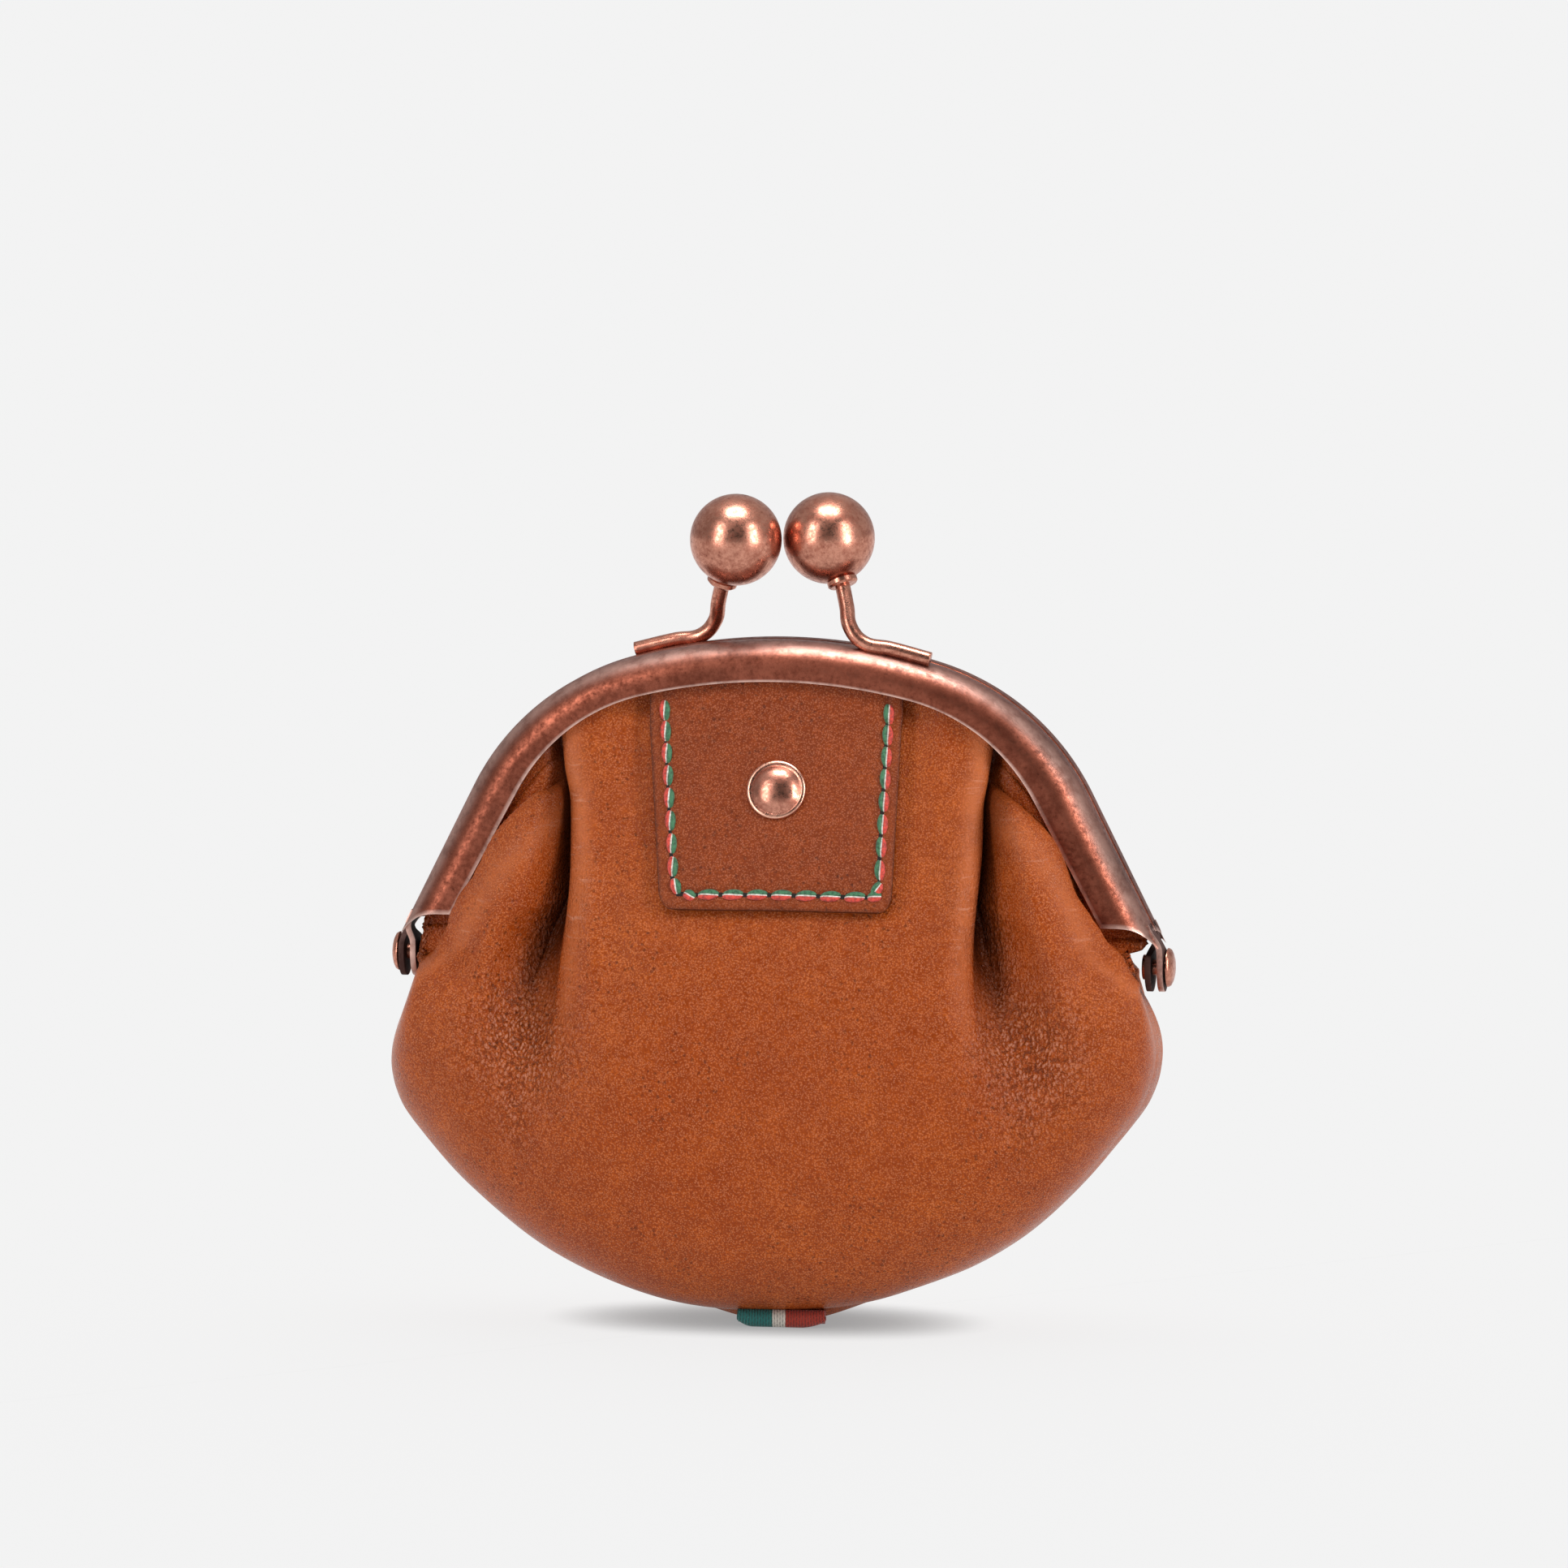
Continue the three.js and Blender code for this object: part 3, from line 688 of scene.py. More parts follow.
@dataclass(frozen=True)
class WovenRibbon:
    """A ribbon woven in three stripes along its length."""

    name: str
    left: Colour
    middle: Colour
    right: Colour
    left_edge: float
    right_edge: float
    rib: float
    blend: float = 0.05
    pick: float = 1.4
    gap: Colour = (0.02, 0.012, 0.01, 1.0)

    def make(self) -> bpy.types.Material:
        """Build the material.

        Returns:
            The weave, which reads a piece's lay attribute: across and along the ribbon, in metres.
        """
        recipe = Recipe(self.name)
        lay = recipe.attribute("lay", "Vector")
        split = recipe.add("ShaderNodeSeparateXYZ", {0: lay})
        across, along = split.outputs[0], split.outputs[1]
        wobble = recipe.math("MULTIPLY_ADD", recipe.noise(lay, 900.0, detail=2.0), 0.0003, -0.00015)
        edge = recipe.math("ADD", across, wobble)
        first, second = (
            recipe.span(edge, (at - self.blend) * MM, (at + self.blend) * MM)
            for at in (self.left_edge, self.right_edge)
        )
        body = recipe.tint(second, recipe.tint(first, self.left, self.middle), self.right)
        turns = recipe.times(across, 2.0 * math.pi / (self.rib * MM))
        rib = recipe.math("SINE", turns, 0.0)
        rows = 2.0 * math.pi / (self.pick * self.rib * MM)
        picks = recipe.math("MULTIPLY_ADD", along, rows, recipe.times(turns, 0.5))
        picks = recipe.math("SINE", picks, 0.0)
        weave = recipe.math("MULTIPLY_ADD", picks, 0.35, rib)
        shaded = recipe.span(weave, -1.3, 0.2, 0.55, 0.0)
        body = recipe.tint(shaded, body, self.gap)
        fuzz = recipe.noise(lay, 3000.0, detail=2.0)
        skin = recipe.relief(weave, 0.05, recipe.relief(fuzz, 0.05))
        return recipe.finish(Base_Color=body, Normal=skin, Roughness=0.75, Sheen_Weight=0.2)


@dataclass(frozen=True)
class PaleGround:
    """The plain ground that the purse stands on."""

    name: str
    colour: Colour
    glow: float
    contact: float
    contact_glow: float

    def make(self) -> bpy.types.Material:
        """Build the material.

        Returns:
            The ground, which glows as a light table does, its glow dimmed close under the purse: a painted
            contact shadow.
        """
        recipe = Recipe(self.name)
        reach = {"Distance": self.contact * MM}
        # Painted contact shadow: the glow is dimmed where ambient occlusion finds the purse close by.
        open_sky = recipe.add("ShaderNodeAmbientOcclusion", reach, samples=8).outputs["AO"]
        return recipe.finish(
            Base_Color=self.colour,
            Roughness=0.9,
            Specular_IOR_Level=0.0,
            Emission_Color=(1.0, 1.0, 1.0, 1.0),
            Emission_Strength=recipe.span(open_sky, 0.0, 1.0, self.contact_glow, self.glow),
        )


POUCH_LEATHER = GrainedLeather(
    name="pouch_leather",
    light=(0.51, 0.104, 0.01, 1.0),
    middle=(0.425, 0.074, 0.005, 1.0),
    dark=(0.24, 0.034, 0.004, 1.0),
    pore_and_shade=(0.05, 0.008, 0.002, 1.0),
    scuff_and_glint=(0.68, 0.33, 0.22, 1.0),
    glint=(0.62, 0.21, 0.09, 1.0),
    grain=4200.0,
    wrinkle=2200.0,
    grain_depth=0.05,
    crease_depth=0.24,
    roughness=0.29,
    pores=0.5,
    gloss=0.17,
)
TAB_LEATHER = GrainedLeather(
    name="tab_leather",
    light=(0.345, 0.06, 0.006, 1.0),
    middle=(0.295, 0.047, 0.004, 1.0),
    dark=(0.17, 0.026, 0.004, 1.0),
    pore_and_shade=(0.045, 0.009, 0.003, 1.0),
    scuff_and_glint=(0.3, 0.08, 0.03, 1.0),
    glint=(0.48, 0.17, 0.085, 1.0),
    grain=4400.0,
    wrinkle=1800.0,
    grain_depth=0.045,
    crease_depth=0.02,
    roughness=0.36,
    pores=0.6,
    gloss=0.2,
)
CUT_LEATHER = RawLeather("cut_leather", (0.2, 0.06, 0.022, 1.0), (0.07, 0.02, 0.008, 1.0))
FRAME_COPPER = AntiqueCopper(
    name="frame_copper",
    bright=(0.3, 0.09, 0.054, 1.0),
    middle=(0.145, 0.038, 0.022, 1.0),
    oxide=(0.04, 0.012, 0.008, 1.0),
    worn_and_highlight=(0.84, 0.58, 0.5, 1.0),
    speck=1500.0,
    roughness=0.4,
)
CLASP_COPPER = AntiqueCopper(
    name="clasp_copper",
    bright=(0.7, 0.32, 0.225, 1.0),
    middle=(0.38, 0.135, 0.09, 1.0),
    oxide=(0.11, 0.04, 0.03, 1.0),
    worn_and_highlight=(0.8, 0.45, 0.33, 1.0),
    speck=1700.0,
    roughness=0.27,
)
THREADS = {
    Ply.INNER: Thread("green_thread", (0.05, 0.2, 0.09, 1.0), (0.012, 0.07, 0.03, 1.0)),
    Ply.MIDDLE: Thread("white_thread", (0.8, 0.76, 0.7, 1.0), (0.45, 0.4, 0.34, 1.0)),
    Ply.OUTER: Thread("red_thread", (0.74, 0.065, 0.04, 1.0), (0.32, 0.02, 0.014, 1.0)),
}
# Painted shade: near-black discs laid on the tab stand for the shade inside the needle holes.
NEEDLE_HOLE_SHADE = RawLeather("needle_hole_shade", (0.012, 0.006, 0.004, 1.0), (0.006, 0.003, 0.002, 1.0))
STRIPED_WEAVE = WovenRibbon(
    name="striped_weave",
    left=(0.01, 0.16, 0.145, 1.0),
    middle=(0.72, 0.66, 0.58, 1.0),
    right=(0.4, 0.028, 0.01, 1.0),
    left_edge=-1.1,
    right_edge=0.6,
    rib=0.36,
)
GROUND = PaleGround("pale_ground", (0.12, 0.12, 0.12, 1.0), 0.82, 8.5, 0.32)


def fit(piece: Piece, finish: Any, replaces: str | None = None) -> Piece:
    """Give a piece its finish and let it ride on the purse.

    Args:
        piece: the finished mesh, in place.
        finish: the material.
        replaces: the solid that it stands for.

    Returns:
        The piece.
    """
    if not piece.data.materials:
        piece.data.materials.append(finish)
    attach(piece, BODY)
    if replaces is not None:
        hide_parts(replaces)
    log.info("%s: %d faces", piece.name, len(piece.data.polygons))
    return piece


@dataclass(frozen=True)
class Arch:
    """An arch of a top arc, two shoulder arcs and two straight legs; angles in degrees."""

    apex: float
    top_radius: float
    top_angle: float
    shoulder_radius: float
    leg_angle: float
    foot: float

    @property
    def lengths(self) -> tuple[float, float, float]:
        """Lengths of half the top arc, of a shoulder arc and of a leg."""
        top = math.radians(self.top_angle)
        leg = math.radians(self.leg_angle)
        knee = self.shoulder[1] + self.shoulder_radius * math.cos(leg)
        return self.top_radius * top, self.shoulder_radius * (leg - top), (knee - self.foot) / math.sin(leg)

    @property
    def half(self) -> float:
        """Length from the apex to a foot."""
        return sum(self.lengths)

    @property
    def shoulder(self) -> tuple[float, float]:
        """Centre of the right shoulder arc, as x and z."""
        top = math.radians(self.top_angle)
        reach = self.top_radius - self.shoulder_radius
        return reach * math.sin(top), self.apex - self.top_radius + reach * math.cos(top)

    def points(self, at: Array) -> Array:
        """Read the arch from its left foot (-1) to its right one (1).

        Args:
            at: where to read it.

        Returns:
            The places, with y = 0.
        """
        top, leg = math.radians(self.top_angle), math.radians(self.leg_angle)
        top_length, shoulder_length, _ = self.lengths
        centre_x, centre_z = self.shoulder
        run = np.abs(at) * self.half
        on_top = run <= top_length
        shoulder_angle = top + (run - top_length) / self.shoulder_radius
        angle = np.minimum(np.where(on_top, run / self.top_radius, shoulder_angle), leg)
        down = np.maximum(0.0, run - top_length - shoulder_length)
        radius = np.where(on_top, self.top_radius, self.shoulder_radius)
        x = np.where(on_top, 0.0, centre_x) + radius * np.sin(angle)
        z = np.where(on_top, self.apex - self.top_radius, centre_z) + radius * np.cos(angle)
        x = (x + down * math.cos(leg)) * np.sign(at)
        return np.stack([x, np.zeros_like(x), z - down * math.sin(leg)], axis=-1)


FRAME_OUTER = Arch(87.8, 70.3, 16.8, 31.9, 63.5, 51.2)
FRAME_INNER = Arch(82.8, 72.6, 13.8, 24.8, 61.8, 51.2)


@dataclass
class FrameHalf:
    """Half of the frame: a bent channel with an ear at each foot, and its clasp wire, collar and ball."""

    gap: float = 0.15
    depth: float = 5.85
    sheet: float = 0.7
    front_round: float = 3.8
    back_round: float = 0.5
    lip: float = 0.14
    lip_width: float = 0.36
    stations: int = 150
    foot_drop: float = -3.0
    foot_rise: float = 1.2
    foot_fillet: float = 0.9
    foot_front: Span = (1.6, 3.4)
    foot_from: float = 0.9
    front_segments: int = 14
    back_segments: int = 4
    lip_wear: float = 0.85
    lip_front: Span = (4.0, 5.2)
    painted_highlight: float = 0.4
    painted_highlight_at: float = 0.6
    painted_highlight_half: float = 0.7
    painted_highlight_front: Span = (1.8, 3.4)
    foot_wear: float = 0.7
    foot_worn: float = 0.4
    edge: float = 0.05
    hinge_z: float = 46.6
    ear_radius: float = 3.1
    ear_sheet: float = 0.7
    ear_inner_x: float = 47.2
    ear_outer_x: float = 48.75
    ear_near: float = 3.2
    ear_far: float = 0.5
    ear_neck: float = 49.9
    ear_top: float = 52.2
    ear_near_blend: float = 1.0
    ear_far_from: float = 1.2
    ear_wall_from: float = 1.6
    ear_wall_blend: float = 1.4
    ear_rows: int = 20
    ear_round: float = 0.2
    ear_edge: Span = (0.15, 0.5)
    ear_wear: float = 0.6
    ear_darkening: float = 0.95
    wire_radius: float = 0.97
    wire_sides: int = 6
    wire_steps: int = 14
    wire: tuple[Point, ...] = (
        (19.6, -3.0, 85.7),
        (14.5, -3.0, 87.0),
        (11.0, -2.9, 87.7),
        (9.2, -2.5, 89.6),
        (8.5, -1.2, 92.2),
        (7.4, 0.7, 95.8),
    )
    ball: Point = (5.65, 2.1, 100.5)
    ball_radius: float = 5.85
    ball_segments: int = 96
    ball_rings: int = 64
    collar_sides: int = 48
    ball_lean: float = -12.0
    dimple: float = 0.9
    dimple_depth: float = 0.12
    dimple_taper: float = 0.8
    wire_round: float = 0.12
    collar_lift: float = 0.1
    collar: Profile = (
        (1.1, -0.62),
        (1.7, -0.55),
        (1.95, -0.3),
        (1.95, 0.2),
        (1.7, 0.42),
        (1.1, 0.5),
    )

    def channel(self) -> Piece:
        """Fold the channel as a straight bar, then bend the bar over the arch.

        Returns:
            The channel with its wear mark, which also carries a painted highlight band on the rounded face.
        """
        width = FRAME_OUTER.apex - FRAME_INNER.apex
        half = FRAME_OUTER.half
        Bench.clear()
        bpy.ops.mesh.primitive_grid_add(x_subdivisions=self.stations, y_subdivisions=1)
        bar = Bench.named("frame_channel")
        flat = Bench.places(bar)
        unit_x = flat[:, 0] / np.abs(flat[:, 0]).max()
        outer = flat[:, 1] > 0
        flat[:, 0] = unit_x * half
        flat[:, 1] = -self.gap
        flat[:, 2] = np.where(outer, 0.0, -width)
        Bench.put(bar, flat)
        Bench.pick(bar, lambda place: place.z > -NEAR)
        deep, wide = self.gap - self.depth, self.lip_width - width
        for step in ((0.0, deep, 0.0), (0.0, 0.0, wide), (0.0, 0.0, -self.lip_width)):
            bpy.ops.mesh.extrude_region_move(TRANSFORM_OT_translate={"value": Vector(step) * MM})
        middle = -(self.depth + self.gap) / 2 * MM
        Bench.pick(bar, lambda place: place.z > -NEAR and place.y < middle)
        bpy.ops.mesh.bevel(offset=self.front_round * MM, segments=self.front_segments, affect="EDGES")
        Bench.pick(bar, lambda place: place.z > -NEAR and place.y > -self.gap * MM - NEAR)
        bpy.ops.mesh.bevel(offset=self.back_round * MM, segments=self.back_segments, affect="EDGES")
        Bench.mend(bar)
        front = min(bar.data.polygons, key=lambda face: face.center.y)
        if front.normal.y > 0:
            Bench.pick(bar, lambda place: True)
            bpy.ops.mesh.flip_normals()
        Bench.modify(bar, "SOLIDIFY", thickness=self.sheet * MM, offset=-1.0)
        Bench.soften(bar, self.lip, segments=3)
        self._bend(bar, width, half)
        return bar

    def _bend(self, bar: Piece, width: float, half: float) -> None:
        """Bend the straight bar over the arch and mark where it is worn and where a highlight is painted.

        Args:
            bar: the bar along X, with its outer edge at z = 0.
            width: the bar's width.
            half: half its length.
        """
        flat = Bench.places(bar)
        inward = -flat[:, 2]
        forward = -flat[:, 1]
        at = np.clip(flat[:, 0] / half, -1.0, 1.0)
        share = np.exp(-np.maximum(inward, 0.0) / self.foot_fillet)
        rise = lerp(self.foot_rise, self.foot_drop, share) * smoothstep(forward, *self.foot_front)
        rise = rise * smoothstep(np.abs(at), self.foot_from, 1.0)
        at = np.sign(at) * (np.abs(at) - rise / half)
        outer = FRAME_OUTER.points(at)
        across = FRAME_INNER.points(at) - outer
        full = np.linalg.norm(across, axis=-1)
        beyond = np.maximum(0.0, inward - self.front_round)
        stretch = (full - self.front_round) / (width - self.front_round)
        run = np.minimum(inward, self.front_round) + beyond * stretch
        places = outer + unit(across) * run[:, None]
        places[:, 1] = flat[:, 1]
        Bench.put(bar, places)
        lip = smoothstep(inward, width - self.lip_width, width - self.edge)
        lip = lip * smoothstep(forward, *self.lip_front)
        # Painted highlight: a band on the rounded face where it faces the lamps, added to the wear mark.
        curve = bell(inward, self.painted_highlight_at, self.painted_highlight_half) * smoothstep(forward, *self.painted_highlight_front)
        foot = smoothstep(np.abs(flat[:, 0]), half - self.foot_worn, half - self.edge)
        wear = self.lip_wear * lip + self.painted_highlight * curve + self.foot_wear * foot
        Bench.mark(bar, "wear", np.clip(wear, 0.0, 1.0))

    def ear(self, x: float, mirrored: bool) -> Piece:
        """Draw the outer wall's end down into a round plate on the hinge axis.

        Args:
            x: the plate's inner face on the right side.
            mirrored: whether it is on the left side instead.

        Returns:
            The plate.
        """
        leg = math.radians(FRAME_OUTER.leg_angle)
        foot = FRAME_OUTER.points(np.array([1.0]))[0]
        turn = np.linspace(math.pi, math.pi / 2, self.ear_rows)
        low = self.hinge_z + self.ear_radius * np.cos(turn)
        z = np.concatenate([low, np.linspace(self.hinge_z, self.ear_top, self.ear_rows)[1:]])
        round_half = np.sqrt(np.maximum(0.0, self.ear_radius**2 - (z - self.hinge_z) ** 2))
        near = np.where(z > self.hinge_z, self.ear_radius, round_half)
        near = lerp(near, self.ear_near, smoothstep(z, self.hinge_z, self.ear_neck + self.ear_near_blend))
        far = lerp(round_half, -self.ear_far, smoothstep(z, self.hinge_z + self.ear_far_from, self.ear_neck))
        wall = foot[0] - (z - foot[2]) / math.tan(leg) - self.sheet / 2 / math.sin(leg)
        rise = smoothstep(z, self.hinge_z + self.ear_wall_from, self.ear_neck + self.ear_wall_blend)
        middle = lerp(x + self.ear_sheet / 2, wall, rise)
        share = np.linspace(0.0, 1.0, self.ear_rows)[None, :]
        grid = np.zeros((len(z), self.ear_rows, 3))
        grid[..., 0] = middle[:, None] * (-1.0 if mirrored else 1.0)
        grid[..., 1] = lerp(-near[:, None], far[:, None], share)
        grid[..., 2] = z[:, None]
        plate = Bench.sheet("frame_ear", grid)
        Bench.mend(plate, TIGHT)
        Bench.modify(plate, "SOLIDIFY", thickness=self.ear_sheet * MM, offset=0.0)
        Bench.mend(plate, TIGHT)
        Bench.soften(plate, self.ear_round, segments=3)
        places = Bench.places(plate)
        inset = places[:, 1] + np.interp(places[:, 2], z, near)
        edge = 1.0 - smoothstep(inset, *self.ear_edge)
        Bench.mark(plate, "wear", self.ear_wear * edge)
        # The ears' faces, away from their edges, are made dark, dull and not metallic.
        Bench.mark(plate, "darkening", self.ear_darkening * (1.0 - edge))
        return plate

    def clasp_wire(self) -> Piece:
        """Bend the round wire that is soldered along the top and turns up to the ball.

        Returns:
            The wire with flat, softened ends.
        """
        Bench.clear()
        bpy.ops.curve.primitive_bezier_curve_add()
        wire = Bench.named("clasp_wire")
        curve = wire.data
        curve.dimensions = "3D"
        curve.bevel_depth = self.wire_radius * MM
        curve.bevel_resolution = self.wire_sides
        curve.resolution_u = self.wire_steps
        curve.use_fill_caps = True
        stops = curve.splines[0].bezier_points
        stops.add(len(self.wire) - len(stops))
        for stop, place in zip(stops, self.wire):
            stop.co = Vector(place) * MM
            stop.handle_left_type = stop.handle_right_type = "AUTO"
        Bench.take(wire)
        bpy.ops.object.convert(target="MESH")
        wire = Bench.named("clasp_wire")
        Bench.mend(wire)
        Bench.soften(wire, self.wire_round, segments=2)
        return wire

    def clasp_ball(self) -> Piece:
        """Round the ball, with the small closed hole of a hollow ball in its top.

        Returns:
            The ball in its place.
        """
        Bench.clear()
        segments, rings, radius = self.ball_segments, self.ball_rings, self.ball_radius * MM
        bpy.ops.mesh.primitive_uv_sphere_add(segments=segments, ring_count=rings, radius=radius)
        ball = Bench.named("clasp_ball")
        rim = math.sqrt(self.ball_radius**2 - (self.dimple / 2) ** 2)
        Bench.pick(ball, lambda place: place.z > rim * MM)
        bpy.ops.transform.translate(value=(0.0, 0.0, -self.dimple_depth * MM))
        taper = (self.dimple_taper, self.dimple_taper, 1.0)
        bpy.ops.transform.resize(value=taper, center_override=(0.0, 0.0, rim * MM))
        lean = Matrix.Rotation(math.radians(self.ball_lean), 4, "Y")
        Bench.settle(ball, Matrix.Translation(Vector(self.ball) * MM) @ lean)
        return ball

    def clasp_collar(self) -> Piece:
        """Turn the collar between wire and ball.

        Returns:
            The collar, set on the ball.
        """
        collar = Bench.turned("clasp_collar", self.collar, self.collar_sides)
        centre = Vector(self.ball)
        outward = (Vector(self.wire[-1]) - centre).normalized()
        seat = centre + outward * (self.ball_radius + self.collar_lift)
        turn = Vector((0.0, 0.0, 1.0)).rotation_difference(-outward).to_matrix().to_4x4()
        Bench.settle(collar, Matrix.Translation(seat * MM) @ turn)
        return collar

    def build(self) -> list[Piece]:
        """Make the front half and the back half, which is the same one turned round.

        Returns:
            The pieces of both halves.
        """
        ears = [self.ear(self.ear_outer_x, False), self.ear(self.ear_inner_x, True)]
        front = Bench.join("frame_front_arch", [self.channel(), *ears])
        pieces = [front, self.clasp_wire(), self.clasp_collar(), self.clasp_ball()]
        names = ["frame_{}_arch", "clasp_{}_wire", "clasp_{}_collar", "clasp_{}_ball"]
        made = []
        for piece, name in zip(pieces, names):
            turned = Bench.copy(piece, name.format("back"))
            Bench.settle(turned, Matrix.Rotation(math.pi, 4, "Z"))
            piece.name = name.format("front")
            made += [piece, turned]
        return made

    def dress(self, pieces: Sequence[Piece]) -> None:
        """Give both halves their copper.

        Args:
            pieces: the pieces of both halves.
        """
        frame_copper = FRAME_COPPER.make()
        clasp_copper = CLASP_COPPER.make()
        for piece in pieces:
            Bench.smooth(piece)
            node = "frame_back" if "back" in piece.name else "frame_front"
            finish = clasp_copper
            if "arch" in piece.name:
                Bench.modify(piece, "WEIGHTED_NORMAL", keep_sharp=True, weight=80)
                finish = frame_copper
            fit(piece, finish, node)


@dataclass
class HingeRivets:
    """The rivets through both pairs of ears, with a domed head outside and a flat tail inside."""

    hinge_z: float = 46.6
    sides: int = 40
    profile: Profile = (
        (1.5, 46.6),
        (1.6, 46.66),
        (1.6, 47.0),
        (1.5, 47.08),
        (1.0, 47.1),
        (1.0, 49.68),
        (2.4, 49.7),
        (2.5, 49.78),
        (2.48, 49.92),
        (2.3, 50.2),
        (1.85, 50.43),
        (1.25, 50.6),
        (0.65, 50.68),
        (0.05, 50.7),
    )

    def build(self) -> list[Piece]:
        """Turn one rivet, lay it along X and set a copy on the other side.

        Returns:
            The right rivet and the left one.
        """
        right = Bench.turned("hinge_rivet_right", self.profile, self.sides)
        lay = Matrix.Rotation(math.pi / 2, 4, "Y")
        Bench.settle(right, Matrix.Translation((0.0, 0.0, self.hinge_z * MM)) @ lay)
        left = Bench.copy(right, "hinge_rivet_left")
        Bench.settle(left, Matrix.Rotation(math.pi, 4, "Z"))
        return [right, left]

    def dress(self, pieces: Sequence[Piece]) -> None:
        """Give the rivets their copper.

        Args:
            pieces: the right rivet and the left one.
        """
        copper = bpy.data.materials[CLASP_COPPER.name]
        for piece, node in zip(pieces, ("rivet_right", "rivet_left")):
            Bench.smooth(piece)
            fit(piece, copper, node)


class SeamRow(NamedTuple):
    """A place on the seam: half the pouch's width at a height."""

    half: float
    z: float


class DepthRow(NamedTuple):
    """A panel's depth at a share of the way from its middle to its side."""

    across: float
    rim: float
    belly: float
    swell: float
    round: float


class PleatRow(NamedTuple):
    """The pleat at a share of the way from the rim to the seam; turn in degrees."""

    along: float
    ridge: float
    turn: float
    bend: float
    lap: float
    reach: float


class LobeRow(NamedTuple):
    """Where a side lobe's wall starts, as a distance past the frame's mouth."""

    across: float
    neck: float


@dataclass
class PouchForm:
    """The form of the two leather panels, which hang in the frame and meet in a seam all round."""

    gap: float = 0.02
    rim_inset: float = 0.45
    neck: float = 1.2
    mouth_blend: float = 2.0
    belly_at: float = 0.66
    seam: tuple[SeamRow, ...] = (
        SeamRow(44.9, 43.6),
        SeamRow(46.4, 42.3),
        SeamRow(48.4, 38.2),
        SeamRow(49.15, 34.1),
        SeamRow(48.35, 30.0),
        SeamRow(46.05, 26.0),
        SeamRow(38.65, 17.7),
        SeamRow(27.9, 9.4),
        SeamRow(14.0, 3.6),
        SeamRow(0.0, 2.1),
    )
    sag_shift: float = -0.8
    sag_lift: float = 1.1
    sag_from: float = 43.6
    sag_to: float = 31.0
    sag_reach: float = 50.0
    depths: tuple[DepthRow, ...] = (
        DepthRow(0.0, 2.55, 15.5, 1.3, 2.9),
        DepthRow(0.27, 2.6, 15.9, 1.3, 2.8),
        DepthRow(0.37, 4.3, 15.7, 1.3, 2.7),
        DepthRow(0.58, 4.3, 14.6, 1.2, 2.4),
        DepthRow(0.74, 3.0, 13.0, 0.95, 2.3),
        DepthRow(0.86, 3.0, 10.6, 0.85, 2.2),
        DepthRow(0.94, 3.0, 7.6, 0.85, 2.1),
        DepthRow(1.0, 3.0, 4.0, 0.9, 2.0),
    )
    pleat: tuple[PleatRow, ...] = (
        PleatRow(0.0, 29.0, 180.0, 2.05, 4.2, 3.0),
        PleatRow(0.06, 28.5, 180.0, 2.3, 4.0, 3.0),
        PleatRow(0.12, 27.8, 176.0, 2.8, 3.4, 3.4),
        PleatRow(0.18, 26.9, 166.0, 3.4, 2.9, 4.4),
        PleatRow(0.25, 26.6, 148.0, 4.4, 2.5, 6.5),
        PleatRow(0.36, 26.3, 108.0, 5.8, 2.0, 10.0),
        PleatRow(0.43, 26.4, 80.0, 6.4, 2.0, 11.5),
        PleatRow(0.5, 26.7, 56.0, 6.6, 2.2, 12.0),
        PleatRow(0.58, 27.4, 36.0, 6.4, 2.4, 12.5),
        PleatRow(0.68, 28.4, 17.0, 5.6, 2.6, 13.0),
        PleatRow(0.8, 29.0, 6.0, 4.4, 3.0, 13.0),
        PleatRow(1.0, 29.0, 2.0, 3.6, 3.0, 13.0),
    )
    lobes: tuple[LobeRow, ...] = (
        LobeRow(0.4, 4.6),
        LobeRow(0.46, 3.9),
        LobeRow(0.53, 3.0),
        LobeRow(0.604, 1.7),
        LobeRow(0.672, 0.75),
        LobeRow(0.744, 0.5),
        LobeRow(0.806, 0.45),
        LobeRow(1.0, 0.45),
    )
    lobe_swell: float = 0.42
    wall_height: float = 9.0
    wall_width: float = 2.0
    wall_blend: float = 1.6
    wall_fade: float = 9.0
    wall_low: float = 1.0
    wall_end: float = 9.0
    overhang: float = 1.2
    overhang_tilt: float = 0.5
    overhang_from: float = 6.4
    overhang_to: float = 9.0
    overhang_reach: float = 4.0
    overhang_low: Span = (45.5, 44.0)
    overhang_high: Span = (49.5, 48.0)
    foot_bulge: Span = (1.7, 2.5)
    foot_bulge_z: Span = (52.0, 50.4)
    foot_bulge_reach: Span = (3.4, 4.5)
    flap_out: Span = (1.0, 2.3)
    flap_low: Span = (45.8, 49.2)
    flap_pinch: float = 1.4
    flap_blend: float = 0.7
    flap_across: Span = (0.9, 1.0)
    flap_end: Span = (43.8, 45.2)
    flap_shade: float = 0.4
    lean: float = 0.167
    lean_from: float = 4.0
    spread: float = 0.9
    spread_in: Span = (16.5, 25.0)
    spread_out: Span = (30.0, 44.0)
    spread_z: Span = (58.0, 78.0)
    sway: float = 1.1
    sway_z: float = 45.0
    sway_reach: float = 11.0
    sway_in: Span = (17.0, 24.0)
    sway_out: Span = (33.0, 44.0)
    pleat_cover: float = 0.8
    valley_share: float = 0.5
    recovery_share: float = 0.8
    curve_steps: int = 120

